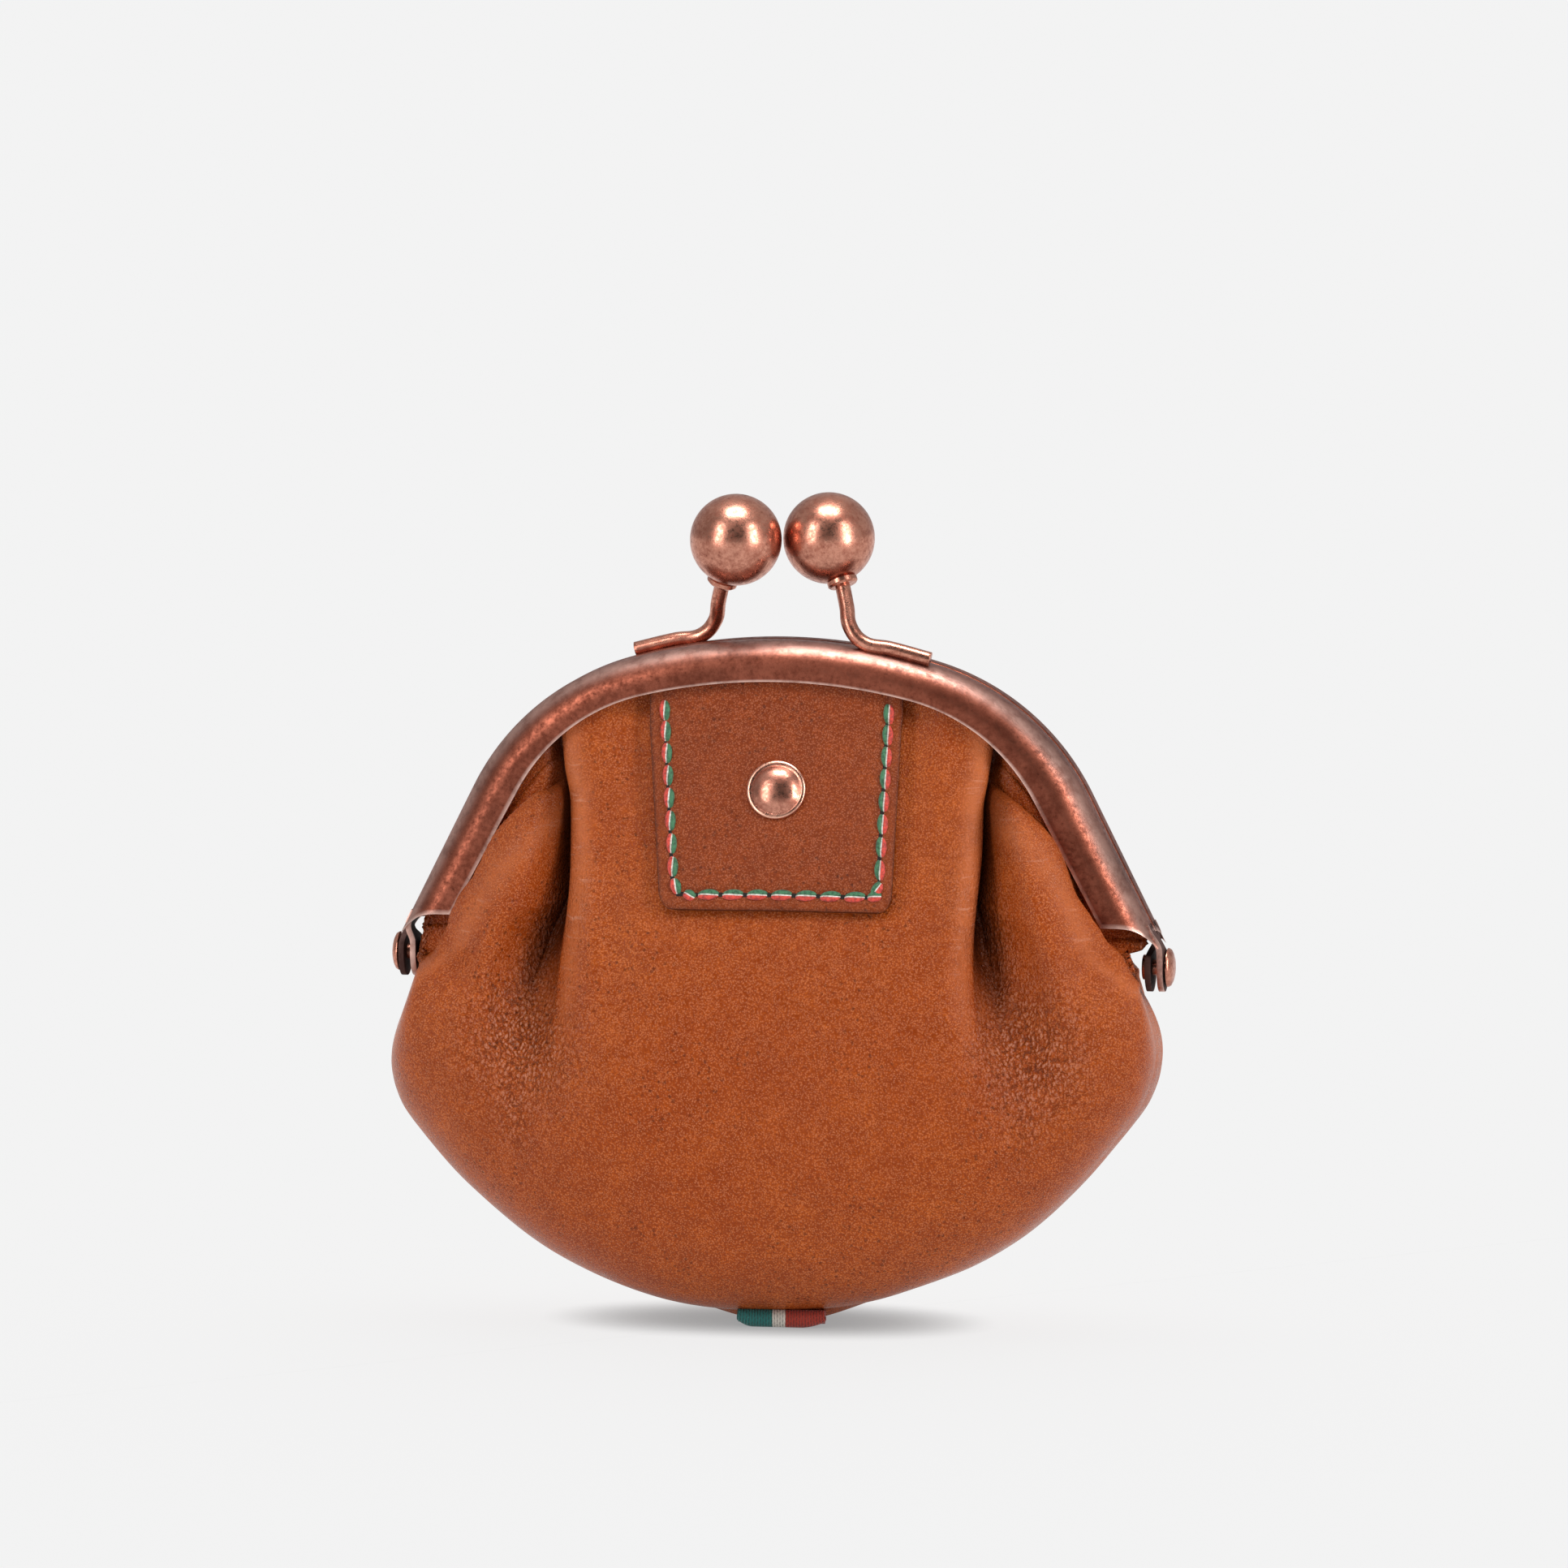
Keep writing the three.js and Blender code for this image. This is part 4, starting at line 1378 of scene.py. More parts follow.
    def __post_init__(self) -> None:
        """Work out the seam's curve and the lengths of the rim and the seam."""
        left = [(-row.half, row.z) for row in self.seam[:-1]]
        right = [(row.half, row.z) for row in reversed(self.seam)]
        corners = np.array(left + right)
        share = smoothstep(self.sag_from - corners[:, 1], 0.0, self.sag_from - self.sag_to)
        corners[:, 1] += share * self.sag_lift * corners[:, 0] / self.sag_reach
        corners[:, 0] += share * self.sag_shift
        padded = np.concatenate([corners[:1], corners, corners[-1:]])
        step = np.linspace(0.0, 1.0, self.curve_steps, endpoint=False)[:, None]
        spans = []
        for before, start, end, after in zip(padded[:-3], padded[1:-2], padded[2:-1], padded[3:]):
            leave, arrive = (end - before) / 2, (after - start) / 2
            cubic = (2 * start - 2 * end + leave + arrive) * step**3
            square = (-3 * start + 3 * end - 2 * leave - arrive) * step**2
            spans.append(cubic + square + leave * step + start)
        self.line = np.concatenate([*spans, corners[-1:]])
        self.run = np.concatenate([[0.0], np.cumsum(np.linalg.norm(np.diff(self.line, axis=0), axis=1))])
        self.seam_half = self.run[-1] / 2
        self.rim_half = lerp(FRAME_INNER.half, FRAME_OUTER.half, self.rim_inset)

    def rim(self, across: Array) -> Array:
        """Give the leather's edge inside the channel."""
        return lerp(FRAME_INNER.points(across), FRAME_OUTER.points(across), self.rim_inset)

    def foot(self, across: Array) -> Array:
        """Give the seam.

        Args:
            across: from the left hinge (-1) round the bottom to the right one (1).

        Returns:
            The places.
        """
        place = (np.asarray(across) + 1.0) / 2.0 * self.run[-1]
        x = np.interp(place, self.run, self.line[:, 0])
        z = np.interp(place, self.run, self.line[:, 1])
        return np.stack([x, np.zeros_like(x), z], axis=-1)

    def row_half(self, along: Array) -> Array:
        """Give half the length of the row at a share of the way from the rim to the seam."""
        return lerp(self.rim_half, self.seam_half, along)

    def past_mouth(self, points: Array, across: Array) -> Array:
        """Say how far places are past the mouth of the channel that holds the rim.

        Args:
            points: places on a panel.
            across: from the left side (-1) to the right one (1).

        Returns:
            The distances.
        """
        past = np.sum((points - FRAME_INNER.points(across)) * self.inward(across), axis=-1)
        below = FRAME_INNER.foot - points[..., 2]
        return (past + below + np.hypot(past - below, self.mouth_blend)) / 2

    def inward(self, across: Array) -> Array:
        """Give the direction from the frame into its mouth."""
        return unit(FRAME_INNER.points(across) - FRAME_OUTER.points(across))

    def past_wall(self, points: Array, across: Array) -> Array:
        """Say how far places are past the line where a lobe's wall starts.

        Args:
            points: places on a panel.
            across: from the left side (-1) to the right one (1).

        Returns:
            The distances.
        """
        past = np.sum((points - FRAME_INNER.points(across)) * self.inward(across), axis=-1)
        free = self.wall_fade * smoothstep(FRAME_INNER.foot - points[..., 2], self.wall_low, self.wall_end)
        return past - read(self.lobes, "neck", np.abs(across)) + free

    def walled(self, depth: Array, rim: Array, past: Array) -> Array:
        """Hold a depth under the lobe's wall, which rises steeply past its start.

        Args:
            depth: the depth without the wall.
            rim: the depth where the wall starts.
            past: the distance past its start.

        Returns:
            The depth.
        """
        limit = rim + self.wall_height * np.sqrt(np.maximum(past, 0.0) / self.wall_width)
        near = np.maximum(0.0, self.wall_blend - np.abs(depth - limit)) / self.wall_blend
        return np.minimum(depth, limit) - near * near * self.wall_blend / 4.0

    def leaned(self, points: Array) -> Array:
        """Lean the belly to the right, spread its right fold and sway both folds.

        Args:
            points: places on the front panel.

        Returns:
            The moved places.
        """
        moved = points.copy()
        x, z = points[..., 0], points[..., 2]
        share = window(x, self.spread_in, self.spread_out)
        moved[..., 0] += self.spread * share * (1.0 - smoothstep(z, *self.spread_z))
        folds = window(np.abs(x), self.sway_in, self.sway_out)
        moved[..., 0] -= self.sway * folds * bell(z, self.sway_z, self.sway_reach)
        moved[..., 0] += self.lean * np.maximum(0.0, -points[..., 1] - self.lean_from)
        return moved

    @staticmethod
    def sided(across: Array, *pairs: Span) -> list[Array]:
        """Choose from pairs of a left and a right value by the side that a place is on."""
        return [np.where(across > 0, right, left) for left, right in pairs]

    def hung_over(self, points: Array, across: Array, lobe: Array) -> Array:
        """Let the lobes bulge a little way over the frame's inner edge.

        Args:
            points: places on a panel.
            across: from the left side (-1) to the right one (1).
            lobe: how much a place belongs to a side lobe, from 0 to 1.

        Returns:
            The moved places.
        """
        past = self.past_wall(points, across)
        share = lobe * smoothstep(-points[..., 1], self.overhang_from, self.overhang_to)
        share = share * bell(np.maximum(past, 0.0), 0.0, self.overhang_reach)
        z = points[..., 2]
        low, high = self.sided(across, self.overhang_low, self.overhang_high)
        bulge, at, half = self.sided(across, self.foot_bulge, self.foot_bulge_z, self.foot_bulge_reach)
        share = share * smoothstep(z, low, high)
        reach = self.overhang - self.overhang_tilt * np.sign(across)
        reach = reach + bulge * bell(z, at, half)
        return points - self.inward(across) * (reach * share)[..., None]

    def flapped(self, points: Array, across: Array) -> tuple[Array, Array]:
        """Let the leather's cut ends stick out beside the hinges, and draw it in under them.

        Args:
            points: places on a panel.
            across: from the left side (-1) to the right one (1).

        Returns:
            The moved places, and how much each belongs to a cut end.
        """
        out, low = self.sided(across, self.flap_out, self.flap_low)
        z = points[..., 2]
        side = smoothstep(np.abs(across), *self.flap_across)
        end = side * smoothstep(z, low - self.flap_blend, low + self.flap_blend)
        pinch = (side - end) * smoothstep(z, *self.flap_end)
        moved = points.copy()
        moved[..., 0] += np.sign(across) * (out * end - self.flap_pinch * pinch)
        return moved, end

    def points(self, across: Array, along: Array, lobe: Array | float = 0.0) -> Array:
        """Give the unpleated front panel's middle surface.

        Args:
            across: from the left side (-1) to the right one (1).
            along: from the rim (0) to the seam (1).
            lobe: how much a place belongs to a side lobe, from 0 to 1.

        Returns:
            The places.
        """
        parts = (np.asarray(part, float) for part in (across, along, lobe))
        across, along, lobe = np.broadcast_arrays(*parts)
        side = np.abs(across)
        rim, foot = self.rim(across), self.foot(across)
        points = lerp(rim, foot, along[..., None])
        depth = {name: read(self.depths, name, side) for name in ("rim", "belly", "swell", "round")}
        full = self.past_mouth(lerp(rim, foot, self.belly_at), across) - self.neck
        share = np.clip((self.past_mouth(points, across) - self.neck) / full, 0.0, 1.0)
        swell = lerp(depth["swell"], self.lobe_swell, lobe)
        upper = lerp(depth["rim"], depth["belly"], np.sin(share * math.pi / 2) ** swell)
        share = np.clip((along - self.belly_at) / (1.0 - self.belly_at), 0.0, 1.0)
        power = depth["round"]
        lower = np.maximum(self.gap, depth["belly"] * (1.0 - share**power) ** (1.0 / power))
        whole = np.where(along <= self.belly_at, upper, lower)
        walled = self.walled(whole, np.minimum(depth["rim"], whole), self.past_wall(points, across))
        points[..., 1] = -np.maximum(self.gap, lerp(whole, walled, lobe))
        return points

    def normals(self, across: Array, along: Array, step: float = 0.004) -> Array:
        """Give the directions out of the unpleated panel.

        Args:
            across: from the left side (-1) to the right one (1).
            along: from the rim (0) to the seam (1).
            step: how far apart places are compared.

        Returns:
            The directions.
        """
        over = self.points(across + step, along) - self.points(across - step, along)
        down = self.points(across, along + step) - self.points(across, along - step)
        return unit(np.cross(down, over))


class Furrow(NamedTuple):
    """A shallow furrow in a panel, or a crest where its depth is negative."""

    x: float
    slant: float
    half: float
    depth: float


class PleatedRow(NamedTuple):
    """One row of a pleated panel: how far along it each column is, how far set back, and its marks."""

    run: Array
    back: Array
    lobe: Array
    crease: Array
    rub: Array
    shade: Array


@dataclass
class LeatherPanel:
    """One leather panel of the pouch, lapped into a pleat on each side."""

    form: PouchForm
    side: Side
    leather: float = 1.0
    middle_columns: int = 38
    bend_columns: int = 8
    lap_columns: int = 4
    side_columns: int = 62
    upper_rows: int = 128
    lower_rows: int = 42
    upper_crowding: float = 1.15
    lower_crowding: float = 0.8
    side_crowding: float = 1.05
    back_sag: float = 2.2
    back_sag_half_width: float = 15.0
    back_sag_from: float = 0.1
    back_sag_to: float = 0.85
    tuck: float = 1.3
    tuck_flat: float = 0.45
    tuck_x: Span = (34.0, 43.0)
    tuck_z: Span = (31.0, 41.0)
    tuck_depth: Span = (0.8, 4.0)
    wrinkle_x: float = 32.5
    wrinkle_z: float = 37.0
    wrinkle_half_width: float = 7.5
    wrinkle_half_height: float = 8.5
    crease_depth: float = 0.7
    crease_from: float = 1.0
    crease_half: float = 4.5
    crease_in: Span = (0.22, 0.42)
    crease_out: Span = (0.74, 0.92)
    rub_and_highlight_inset: float = 1.0
    rub_and_highlight_half: float = 1.4
    rub_and_highlight_out: Span = (0.36, 0.66)
    fold_shade: Span = (75.0, 135.0)
    lobe_blend: Span = (-1.0, 2.5)
    pocket_shade: float = 0.92
    pocket_reach: float = 3.0
    pocket_from: float = 8.0
    pocket_to: float = 95.0
    crest_highlight: float = 0.6
    crest_at: float = 2.2
    crest_half: float = 1.5
    furrows: tuple[Furrow, ...] = (
        Furrow(-19.5, -0.1, 2.1, 0.55),
        Furrow(-14.8, -0.31, 2.2, -0.35),
        Furrow(20.8, 0.1, 2.2, 0.4),
    )
    furrow_z: float = 47.5
    furrow_low: Span = (38.0, 50.0)
    furrow_high: Span = (70.0, 84.0)
    ripple: float = 0.22
    ripple_size: float = 13.0
    ripple_in: Span = (0.12, 0.4)
    ripple_out: Span = (0.9, 1.0)
    seed: float = 3.0

    def rows(self) -> Array:
        """Give the places of the rows.

        Returns:
            Places from the rim to the seam, crowded toward the seam below the belly.
        """
        upper = self.form.belly_at * (np.arange(self.upper_rows) / self.upper_rows) ** self.upper_crowding
        angle = math.pi / 2 * np.arange(self.lower_rows + 1) / self.lower_rows
        return np.concatenate([upper, lerp(self.form.belly_at, 1.0, np.sin(angle) ** self.lower_crowding)])

    def pleat(self, along: float) -> PleatedRow:
        """Lap one row from the middle to the right side.

        Args:
            along: the row's place.

        Returns:
            The row's columns.
        """
        form = self.form
        ridge, turn, bend, lap, reach = (
            float(read(form.pleat, name, np.array([along]))[0]) for name in PleatRow._fields[1:]
        )
        turn = math.radians(turn)
        radius = bend / turn
        start = ridge - radius * math.sin(min(turn, math.pi / 2))
        middle = start * np.linspace(0.0, 1.0, self.middle_columns, endpoint=False)
        angle = np.linspace(0.0, turn, self.bend_columns + 1)
        over = start + radius * np.sin(angle)
        over_back = radius * (1.0 - np.cos(angle))
        slide = lap * np.linspace(0.0, 1.0, self.lap_columns + 1)[1:]
        under = over[-1] + slide * math.cos(turn)
        under_back = over_back[-1] + slide * math.sin(turn)
        angle = turn * (1.0 - np.linspace(0.0, 1.0, self.bend_columns + 1)[1:])
        valley = radius * form.valley_share
        out = under[-1] + valley * (math.sin(turn) - np.sin(angle))
        out_back = under_back[-1] + valley * (np.cos(angle) - math.cos(turn))
        half = float(form.row_half(along))
        clear = max(out[-1], ridge + form.pleat_cover)
        reach = min(reach, (half - clear) * form.recovery_share)
        share = np.linspace(0.0, 1.0, self.side_columns + 1)[1:] ** self.side_crowding
        side = lerp(out[-1], half, share)
        side_back = out_back[-1] * (1.0 - smoothstep(side - clear, 0.0, reach))
        run = np.concatenate([middle, over, under, out, side])
        back = np.concatenate([0.0 * middle, over_back, under_back, out_back, side_back])
        lapped = len(middle) + len(over) - 1
        band = float(window(along, self.crease_in, self.crease_out))
        order = np.arange(len(run))
        crease = self.crease_depth * bell(run - out[-1], self.crease_from, self.crease_half) * band
        # Rubbed wear and a painted highlight along the top of the fold's ridge.
        top = 1.0 - float(smoothstep(along, *self.rub_and_highlight_out))
        rub = bell(run - ridge, -self.rub_and_highlight_inset, self.rub_and_highlight_half) * top * (order < lapped)
        hidden = len(run) - len(side)
        # Painted shade in the pleat's pocket and on its turned fold, fading out beside the pocket.
        deep = float(smoothstep(turn, math.radians(self.pocket_from), math.radians(self.pocket_to)))
        beside = bell(np.maximum(run - clear, 0.0), 0.0, self.pocket_reach)
        shade = np.where(order < hidden, 1.0, beside)
        turned = np.concatenate([0.0 * middle, turn * np.linspace(0.0, 1.0, len(over))])
        shade[: len(turned)] = smoothstep(turned, *np.radians(self.fold_shade))
        shade = shade * deep * self.pocket_shade
        lobe = smoothstep(run - clear, *self.lobe_blend) * (order >= hidden)
        return PleatedRow(run, back, lobe, crease, rub, shade)

    def grid(self) -> tuple[Array, dict[str, Array]]:
        """Lay out the pleated middle surface.

        Returns:
            The grid of places, and the marks of each place by name.
        """
        lines, marks = [], {"crease": [], "rub": [], "shade": []}
        for along in self.rows():
            row = self.pleat(float(along))
            run = np.concatenate([-row.run[:0:-1], row.run])
            back = np.concatenate([row.back[:0:-1], row.back])
            across = np.clip(run / float(self.form.row_half(along)), -1.0, 1.0)
            lobe = np.concatenate([row.lobe[:0:-1], row.lobe])
            line = self.form.points(across, np.full_like(across, along), lobe)
            line[:, 1] = np.minimum(-self.form.gap, line[:, 1] + back)
            line, end = self.form.flapped(self.form.hung_over(line, across, lobe), across)
            lines.append(line)
            valley = bell(np.abs(line[:, 0]), self.wrinkle_x, self.wrinkle_half_width)
            valley = valley * bell(line[:, 2], self.wrinkle_z, self.wrinkle_half_height)
            for name in marks:
                values = getattr(row, name)
                marks[name].append(np.concatenate([values[:0:-1], values]))
            # Painted highlight along each lobe's crest.
            crest = bell(self.form.past_wall(line, across), self.crest_at, self.crest_half)
            crest = self.crest_highlight * lobe * crest
            marks["rub"][-1] = np.maximum(marks["rub"][-1], crest)
            marks["crease"][-1] = np.maximum(marks["crease"][-1], np.maximum(valley, end))
            marks["shade"][-1] = np.maximum(marks["shade"][-1], self.form.flap_shade * end)
        return np.array(lines), {name: np.array(values) for name, values in marks.items()}

    def sagged(self, grid: Array) -> Array:
        """Let the back panel hang lower than the seam, down to the ground.

        Args:
            grid: places on the panel.

        Returns:
            The moved places.
        """
        share = (self.rows() - self.form.belly_at) / (1.0 - self.form.belly_at)
        low = smoothstep(share, self.back_sag_from, self.back_sag_to)
        low[-1] = 0.0
        middle = 1.0 - smoothstep(np.abs(grid[..., 0]), 0.0, self.back_sag_half_width)
        lowered = grid.copy()
        lowered[..., 2] -= self.back_sag * low[:, None] * middle
        lowered[..., 2] = np.maximum(lowered[..., 2], self.leather / 2)
        return lowered

    def tucked(self, grid: Array) -> Array:
        """Hold the back panel in beside the hinges, where the front one covers it.

        Args:
            grid: places on the panel.

        Returns:
            The moved places.
        """
        share = smoothstep(np.abs(grid[..., 0]), *self.tuck_x) * smoothstep(grid[..., 2], *self.tuck_z)
        share = share * smoothstep(-grid[..., 1], *self.tuck_depth)
        moved = grid.copy()
        moved[..., 0] -= np.sign(grid[..., 0]) * self.tuck * share
        moved[..., 1] *= 1.0 - self.tuck_flat * share
        return moved

    def rippled(self, grid: Array) -> Array:
        """Wave the leather softly, less toward its held edges.

        Args:
            grid: places on the panel.

        Returns:
            The moved places.
        """
        places = grid.reshape(-1, 3) / self.ripple_size + self.seed
        waves = np.array([noise.noise(Vector(place)) for place in places]).reshape(grid.shape[:2])
        free = window(self.rows(), self.ripple_in, self.ripple_out)
        moved = grid.copy()
        moved[..., 1] += self.ripple * waves * free[:, None]
        return moved

    def furrowed(self, grid: Array) -> Array:
        """Press the furrows and crests beside the tab into the front.

        Args:
            grid: places on the panel.

        Returns:
            The moved places.
        """
        x, z = grid[..., 0], grid[..., 2]
        shown = window(z, self.furrow_low, self.furrow_high)
        moved = grid.copy()
        for furrow in self.furrows:
            aside = x - furrow.x - furrow.slant * (z - self.furrow_z)
            moved[..., 1] += furrow.depth * bell(aside, 0.0, furrow.half) * shown
        return moved

    def build(self) -> Piece:
        """Make the panel as thick as the leather.

        Returns:
            The panel with its crease mark, its mark of rubbed wear and painted highlight, and its mark of
            painted shade.
        """
        grid, marks = self.grid()
        grid = self.rippled(grid)
        if self.side is Side.FRONT:
            grid = self.furrowed(self.form.leaned(grid))
        else:
            grid = self.tucked(self.sagged(grid))
            grid[..., 1] *= -1.0
        name = f"pouch_{self.side.name.lower()}_panel"
        panel = Bench.sheet(name, grid)
        for mark, values in marks.items():
            Bench.mark(panel, mark, values.ravel())
        thickness = self.leather * MM
        Bench.modify(panel, "SOLIDIFY", thickness=thickness, offset=0.0, material_offset_rim=1)
        Bench.smooth(panel, degrees=60.0)
        return panel

    def dress(self, panel: Piece) -> None:
        """Give the panel its leather and its cut edge.

        Args:
            panel: the panel's piece.
        """
        leather = bpy.data.materials.get(POUCH_LEATHER.name) or POUCH_LEATHER.make()
        cut = bpy.data.materials.get(CUT_LEATHER.name) or CUT_LEATHER.make()
        panel.data.materials.append(leather)
        panel.data.materials.append(cut)
        fit(panel, leather, f"pouch_{self.side.name.lower()}")


class Stitch(NamedTuple):
    """A stitch on the tab: its place, the angle of its run in degrees and its share of a full length."""

    across: float
    down: float
    run: float
    share: float = 1.0


@dataclass
class FrontTab:
    """The stitched leather tab in the middle of the front, with its stud."""

    form: PouchForm
    top_half: float = 16.5
    bottom_half: float = 14.9
    top_inset: float = 0.3
    bottom: float = 54.0
    thickness: float = 1.2
    lift: float = 0.95
    normal_from: float = 0.005
    corner: float = 2.0
    columns: int = 64
    rows: int = 70
    corner_rows: int = 10
    crowding: float = 0.86
    roll: float = 0.25
    roll_width: float = 0.9
    edge_round: float = 0.42
    edge_shade: float = 0.7
    edge_width: Span = (0.1, 0.7)
    groove_shade: float = 0.22
    rub: float = 0.25
    rub_and_highlight_inset: float = 0.8
    rub_and_highlight_half: float = 0.35
    groove_inset: float = 1.75
    groove_width: float = 0.75
    groove_depth: float = 0.22
    stitch_length: float = 3.0
    stitch_lean: float = 7.0
    ply_radius: float = 0.37
    thin_ply: float = 0.2
    ply_spread: float = 0.34
    ply_twist: float = 0.8
    ply_taper: float = 0.5
    ply_flatness: float = 0.5
    ply_lift: float = 0.14
    ply_dip: float = 0.45
    ply_sides: int = 12
    hole_sides: int = 14
    hole_gap: float = 0.06
    hole_profile: Profile = ((0.5, -0.3), (0.46, 0.02), (0.3, 0.05), (0.02, 0.06))
    side_stitch_top: float = 79.55
    side_stitch_pitch: float = 2.91
    side_stitches: int = 8
    bottom_stitch_start: float = -8.8
    bottom_stitch_pitch: float = 3.16
    bottom_stitches: int = 7
    corner_pitch: float = 0.84
    corner_inset: float = 0.25
    corner_run: float = 68.0
    corner_share: float = 0.8
    end_stitches: tuple[Stitch, ...] = (Stitch(-0.78, 0.1, -16.0, 0.6), Stitch(6.82, -0.1, 14.0, 0.7))
    stud_sides: int = 72
    stud_lift: float = 0.04
    stud_worn: Span = (0.5, 0.1)
    stud_z: float = 68.5
    stud_profile: Profile = (
        (3.6, 0.0),
        (3.8, 0.1),
        (3.8, 0.42),
        (3.68, 0.56),
        (3.35, 0.6),
        (3.15, 0.52),
        (3.0, 0.62),
        (2.6, 0.98),
        (2.0, 1.28),
        (1.3, 1.48),
        (0.6, 1.58),
        (0.02, 1.6),
    )

    @property
    def top(self) -> float:
        """Height of the leather's edge inside the frame."""
        return float(self.form.rim(np.array([0.0]))[0, 2])

    @property
    def drop(self) -> float:
        """Height from that edge down to the seam."""
        return self.top - float(self.form.foot(np.array([0.0]))[0, 2])

    @property
    def length(self) -> float:
        """Length of the tab from that edge."""
        return self.top - self.bottom

    def half(self, down: Array) -> Array:
        """Give half the tab's width, with its lower corners rounded.

        Args:
            down: distance from the leather's edge inside the frame.

        Returns:
            The half width.
        """
        straight = lerp(self.top_half, self.bottom_half, down / self.length)
        into = np.clip(down - (self.length - self.corner), 0.0, self.corner)
        return straight - (self.corner - np.sqrt(self.corner**2 - into**2))

    def surface(self, across: Array, down: Array, height: Array | float) -> tuple[Array, Array]:
        """Give places on or above the panel under the tab.

        Args:
            across: distance from the middle.
            down: distance from the leather's edge inside the frame.
            height: distance out of the panel's middle surface.

        Returns:
            The places and the directions out of the surface.
        """
        along = np.asarray(down, float) / self.drop
        share = np.asarray(across, float) / self.form.row_half(along)
        points = self.form.points(share, along)
        points[..., 0] -= self.form.points(np.zeros_like(along), along)[..., 0]
        normals = self.form.normals(share, np.maximum(along, self.normal_from))
        return self.form.leaned(points + normals * np.asarray(height)[..., None]), normals

    def build_tab(self) -> Piece:
        """Cut the tab, press the stitching groove into it and round its edges.

        Returns:
            The tab.
        """
        straight = np.linspace(self.top_inset, self.length - self.corner, self.rows)
        angle = math.pi / 2 * np.linspace(0.0, 1.0, self.corner_rows + 1)[1:]
        down = np.concatenate([straight, self.length - self.corner + self.corner * np.sin(angle)])
        widest = math.pi / 2 * self.crowding
        share = np.sin(np.linspace(-1.0, 1.0, self.columns + 1) * widest) / math.sin(widest)
        across = share[None, :] * self.half(down)[:, None]
        downs = np.broadcast_to(down[:, None], across.shape)
        inset = np.minimum(self.half(downs) - np.abs(across), self.length - downs)
        groove = bell(inset, self.groove_inset, self.groove_width)
        rolled = 1.0 - smoothstep(inset, 0.0, self.roll_width)
        height = self.lift - self.groove_depth * groove - self.roll * rolled
        grid, _ = self.surface(across, downs, height)
        tab = Bench.sheet("front_tab", grid)
        Bench.mark(tab, "crease", np.zeros(inset.size))
        Bench.mark(tab, "rub", (self.rub * bell(inset, self.rub_and_highlight_inset, self.rub_and_highlight_half)).ravel())
        edge = self.edge_shade * (1.0 - smoothstep(inset, *self.edge_width)) + self.groove_shade * groove
        Bench.mark(tab, "shade", np.clip(edge, 0.0, 1.0).ravel())
        Bench.modify(tab, "SOLIDIFY", thickness=self.thickness * MM, offset=self.outward(tab))
        Bench.soften(tab, self.edge_round, segments=4, degrees=50.0)
        Bench.smooth(tab, degrees=60.0)
        return tab

    @staticmethod
    def outward(sheet: Piece) -> float:
        """Say to which side of a sheet the front is, as Solidify's offset counts it."""
        return 1.0 if sheet.data.polygons[len(sheet.data.polygons) // 2].normal.y < 0 else -1.0

    def stitch(self) -> Piece:
        """Lay three strands side by side along X, plump in the middle and dipping at both ends.

        Returns:
            One stitch, with its inner strand toward +Y, on the plane z = 0.
        """
        strands = []
        for ply in Ply:
            Bench.clear()
            rows, lying = self.ply_sides, (0.0, math.pi / 2, 0.0)
            bpy.ops.mesh.primitive_uv_sphere_add(segments=rows, ring_count=rows, radius=1.0, rotation=lying)
            strand = Bench.named(f"strand_{ply.name.lower()}")
            radius = self.thin_ply if ply is Ply.MIDDLE else self.ply_radius
            size = Matrix.Diagonal((self.stitch_length / 2 * MM, radius * MM, radius * MM, 1.0))
            Bench.settle(strand, size @ strand.matrix_world)
            places = Bench.places(strand)
            share = places[:, 0] / (self.stitch_length / 2)
            angle = math.radians(ply.value) + self.ply_twist * share
            spread = self.ply_spread * (1.0 - self.ply_taper * share**2)
            places[:, 1] += spread * np.cos(angle)
            rise = self.ply_flatness * spread * np.sin(angle)
            places[:, 2] += rise + self.ply_lift - self.ply_dip * share**4
            Bench.put(strand, places)
            strand.data.materials.append(THREADS[ply].make())
            strands.append(strand)
        return Bench.join("stitch", strands)

    def groove(self, sign: float, down: float, inset: float) -> float:
        """Give how far from the middle a place at an inset from the tab's edge is."""
        return sign * (float(self.half(np.array([down]))[0]) - inset)

    def stitch_rows(self) -> list[Stitch]:
        """List the stitches, with the end stitches counted in pitches from the first of the bottom row.

        Returns:
            The stitches of both sides and of the bottom.
        """
        rows = []
        low = self.length - self.groove_inset
        for sign in (-1.0, 1.0):
            for number in range(self.side_stitches):
                down = self.top - self.side_stitch_top + number * self.side_stitch_pitch
                across = self.groove(sign, down, self.groove_inset)
                rows.append(Stitch(across, down, sign * 90.0 + self.stitch_lean))
            down += self.side_stitch_pitch * self.corner_pitch
            across = self.groove(sign, down, self.groove_inset + self.corner_inset)
            rows.append(Stitch(across, down, sign * self.corner_run, self.corner_share))
        for number in range(self.bottom_stitches):
            across = self.bottom_stitch_start + number * self.bottom_stitch_pitch
            rows.append(Stitch(across, low, self.stitch_lean))
        for end in self.end_stitches:
            across = self.bottom_stitch_start + end.across * self.bottom_stitch_pitch
            rows.append(Stitch(across, low + end.down, end.run, end.share))
        return rows

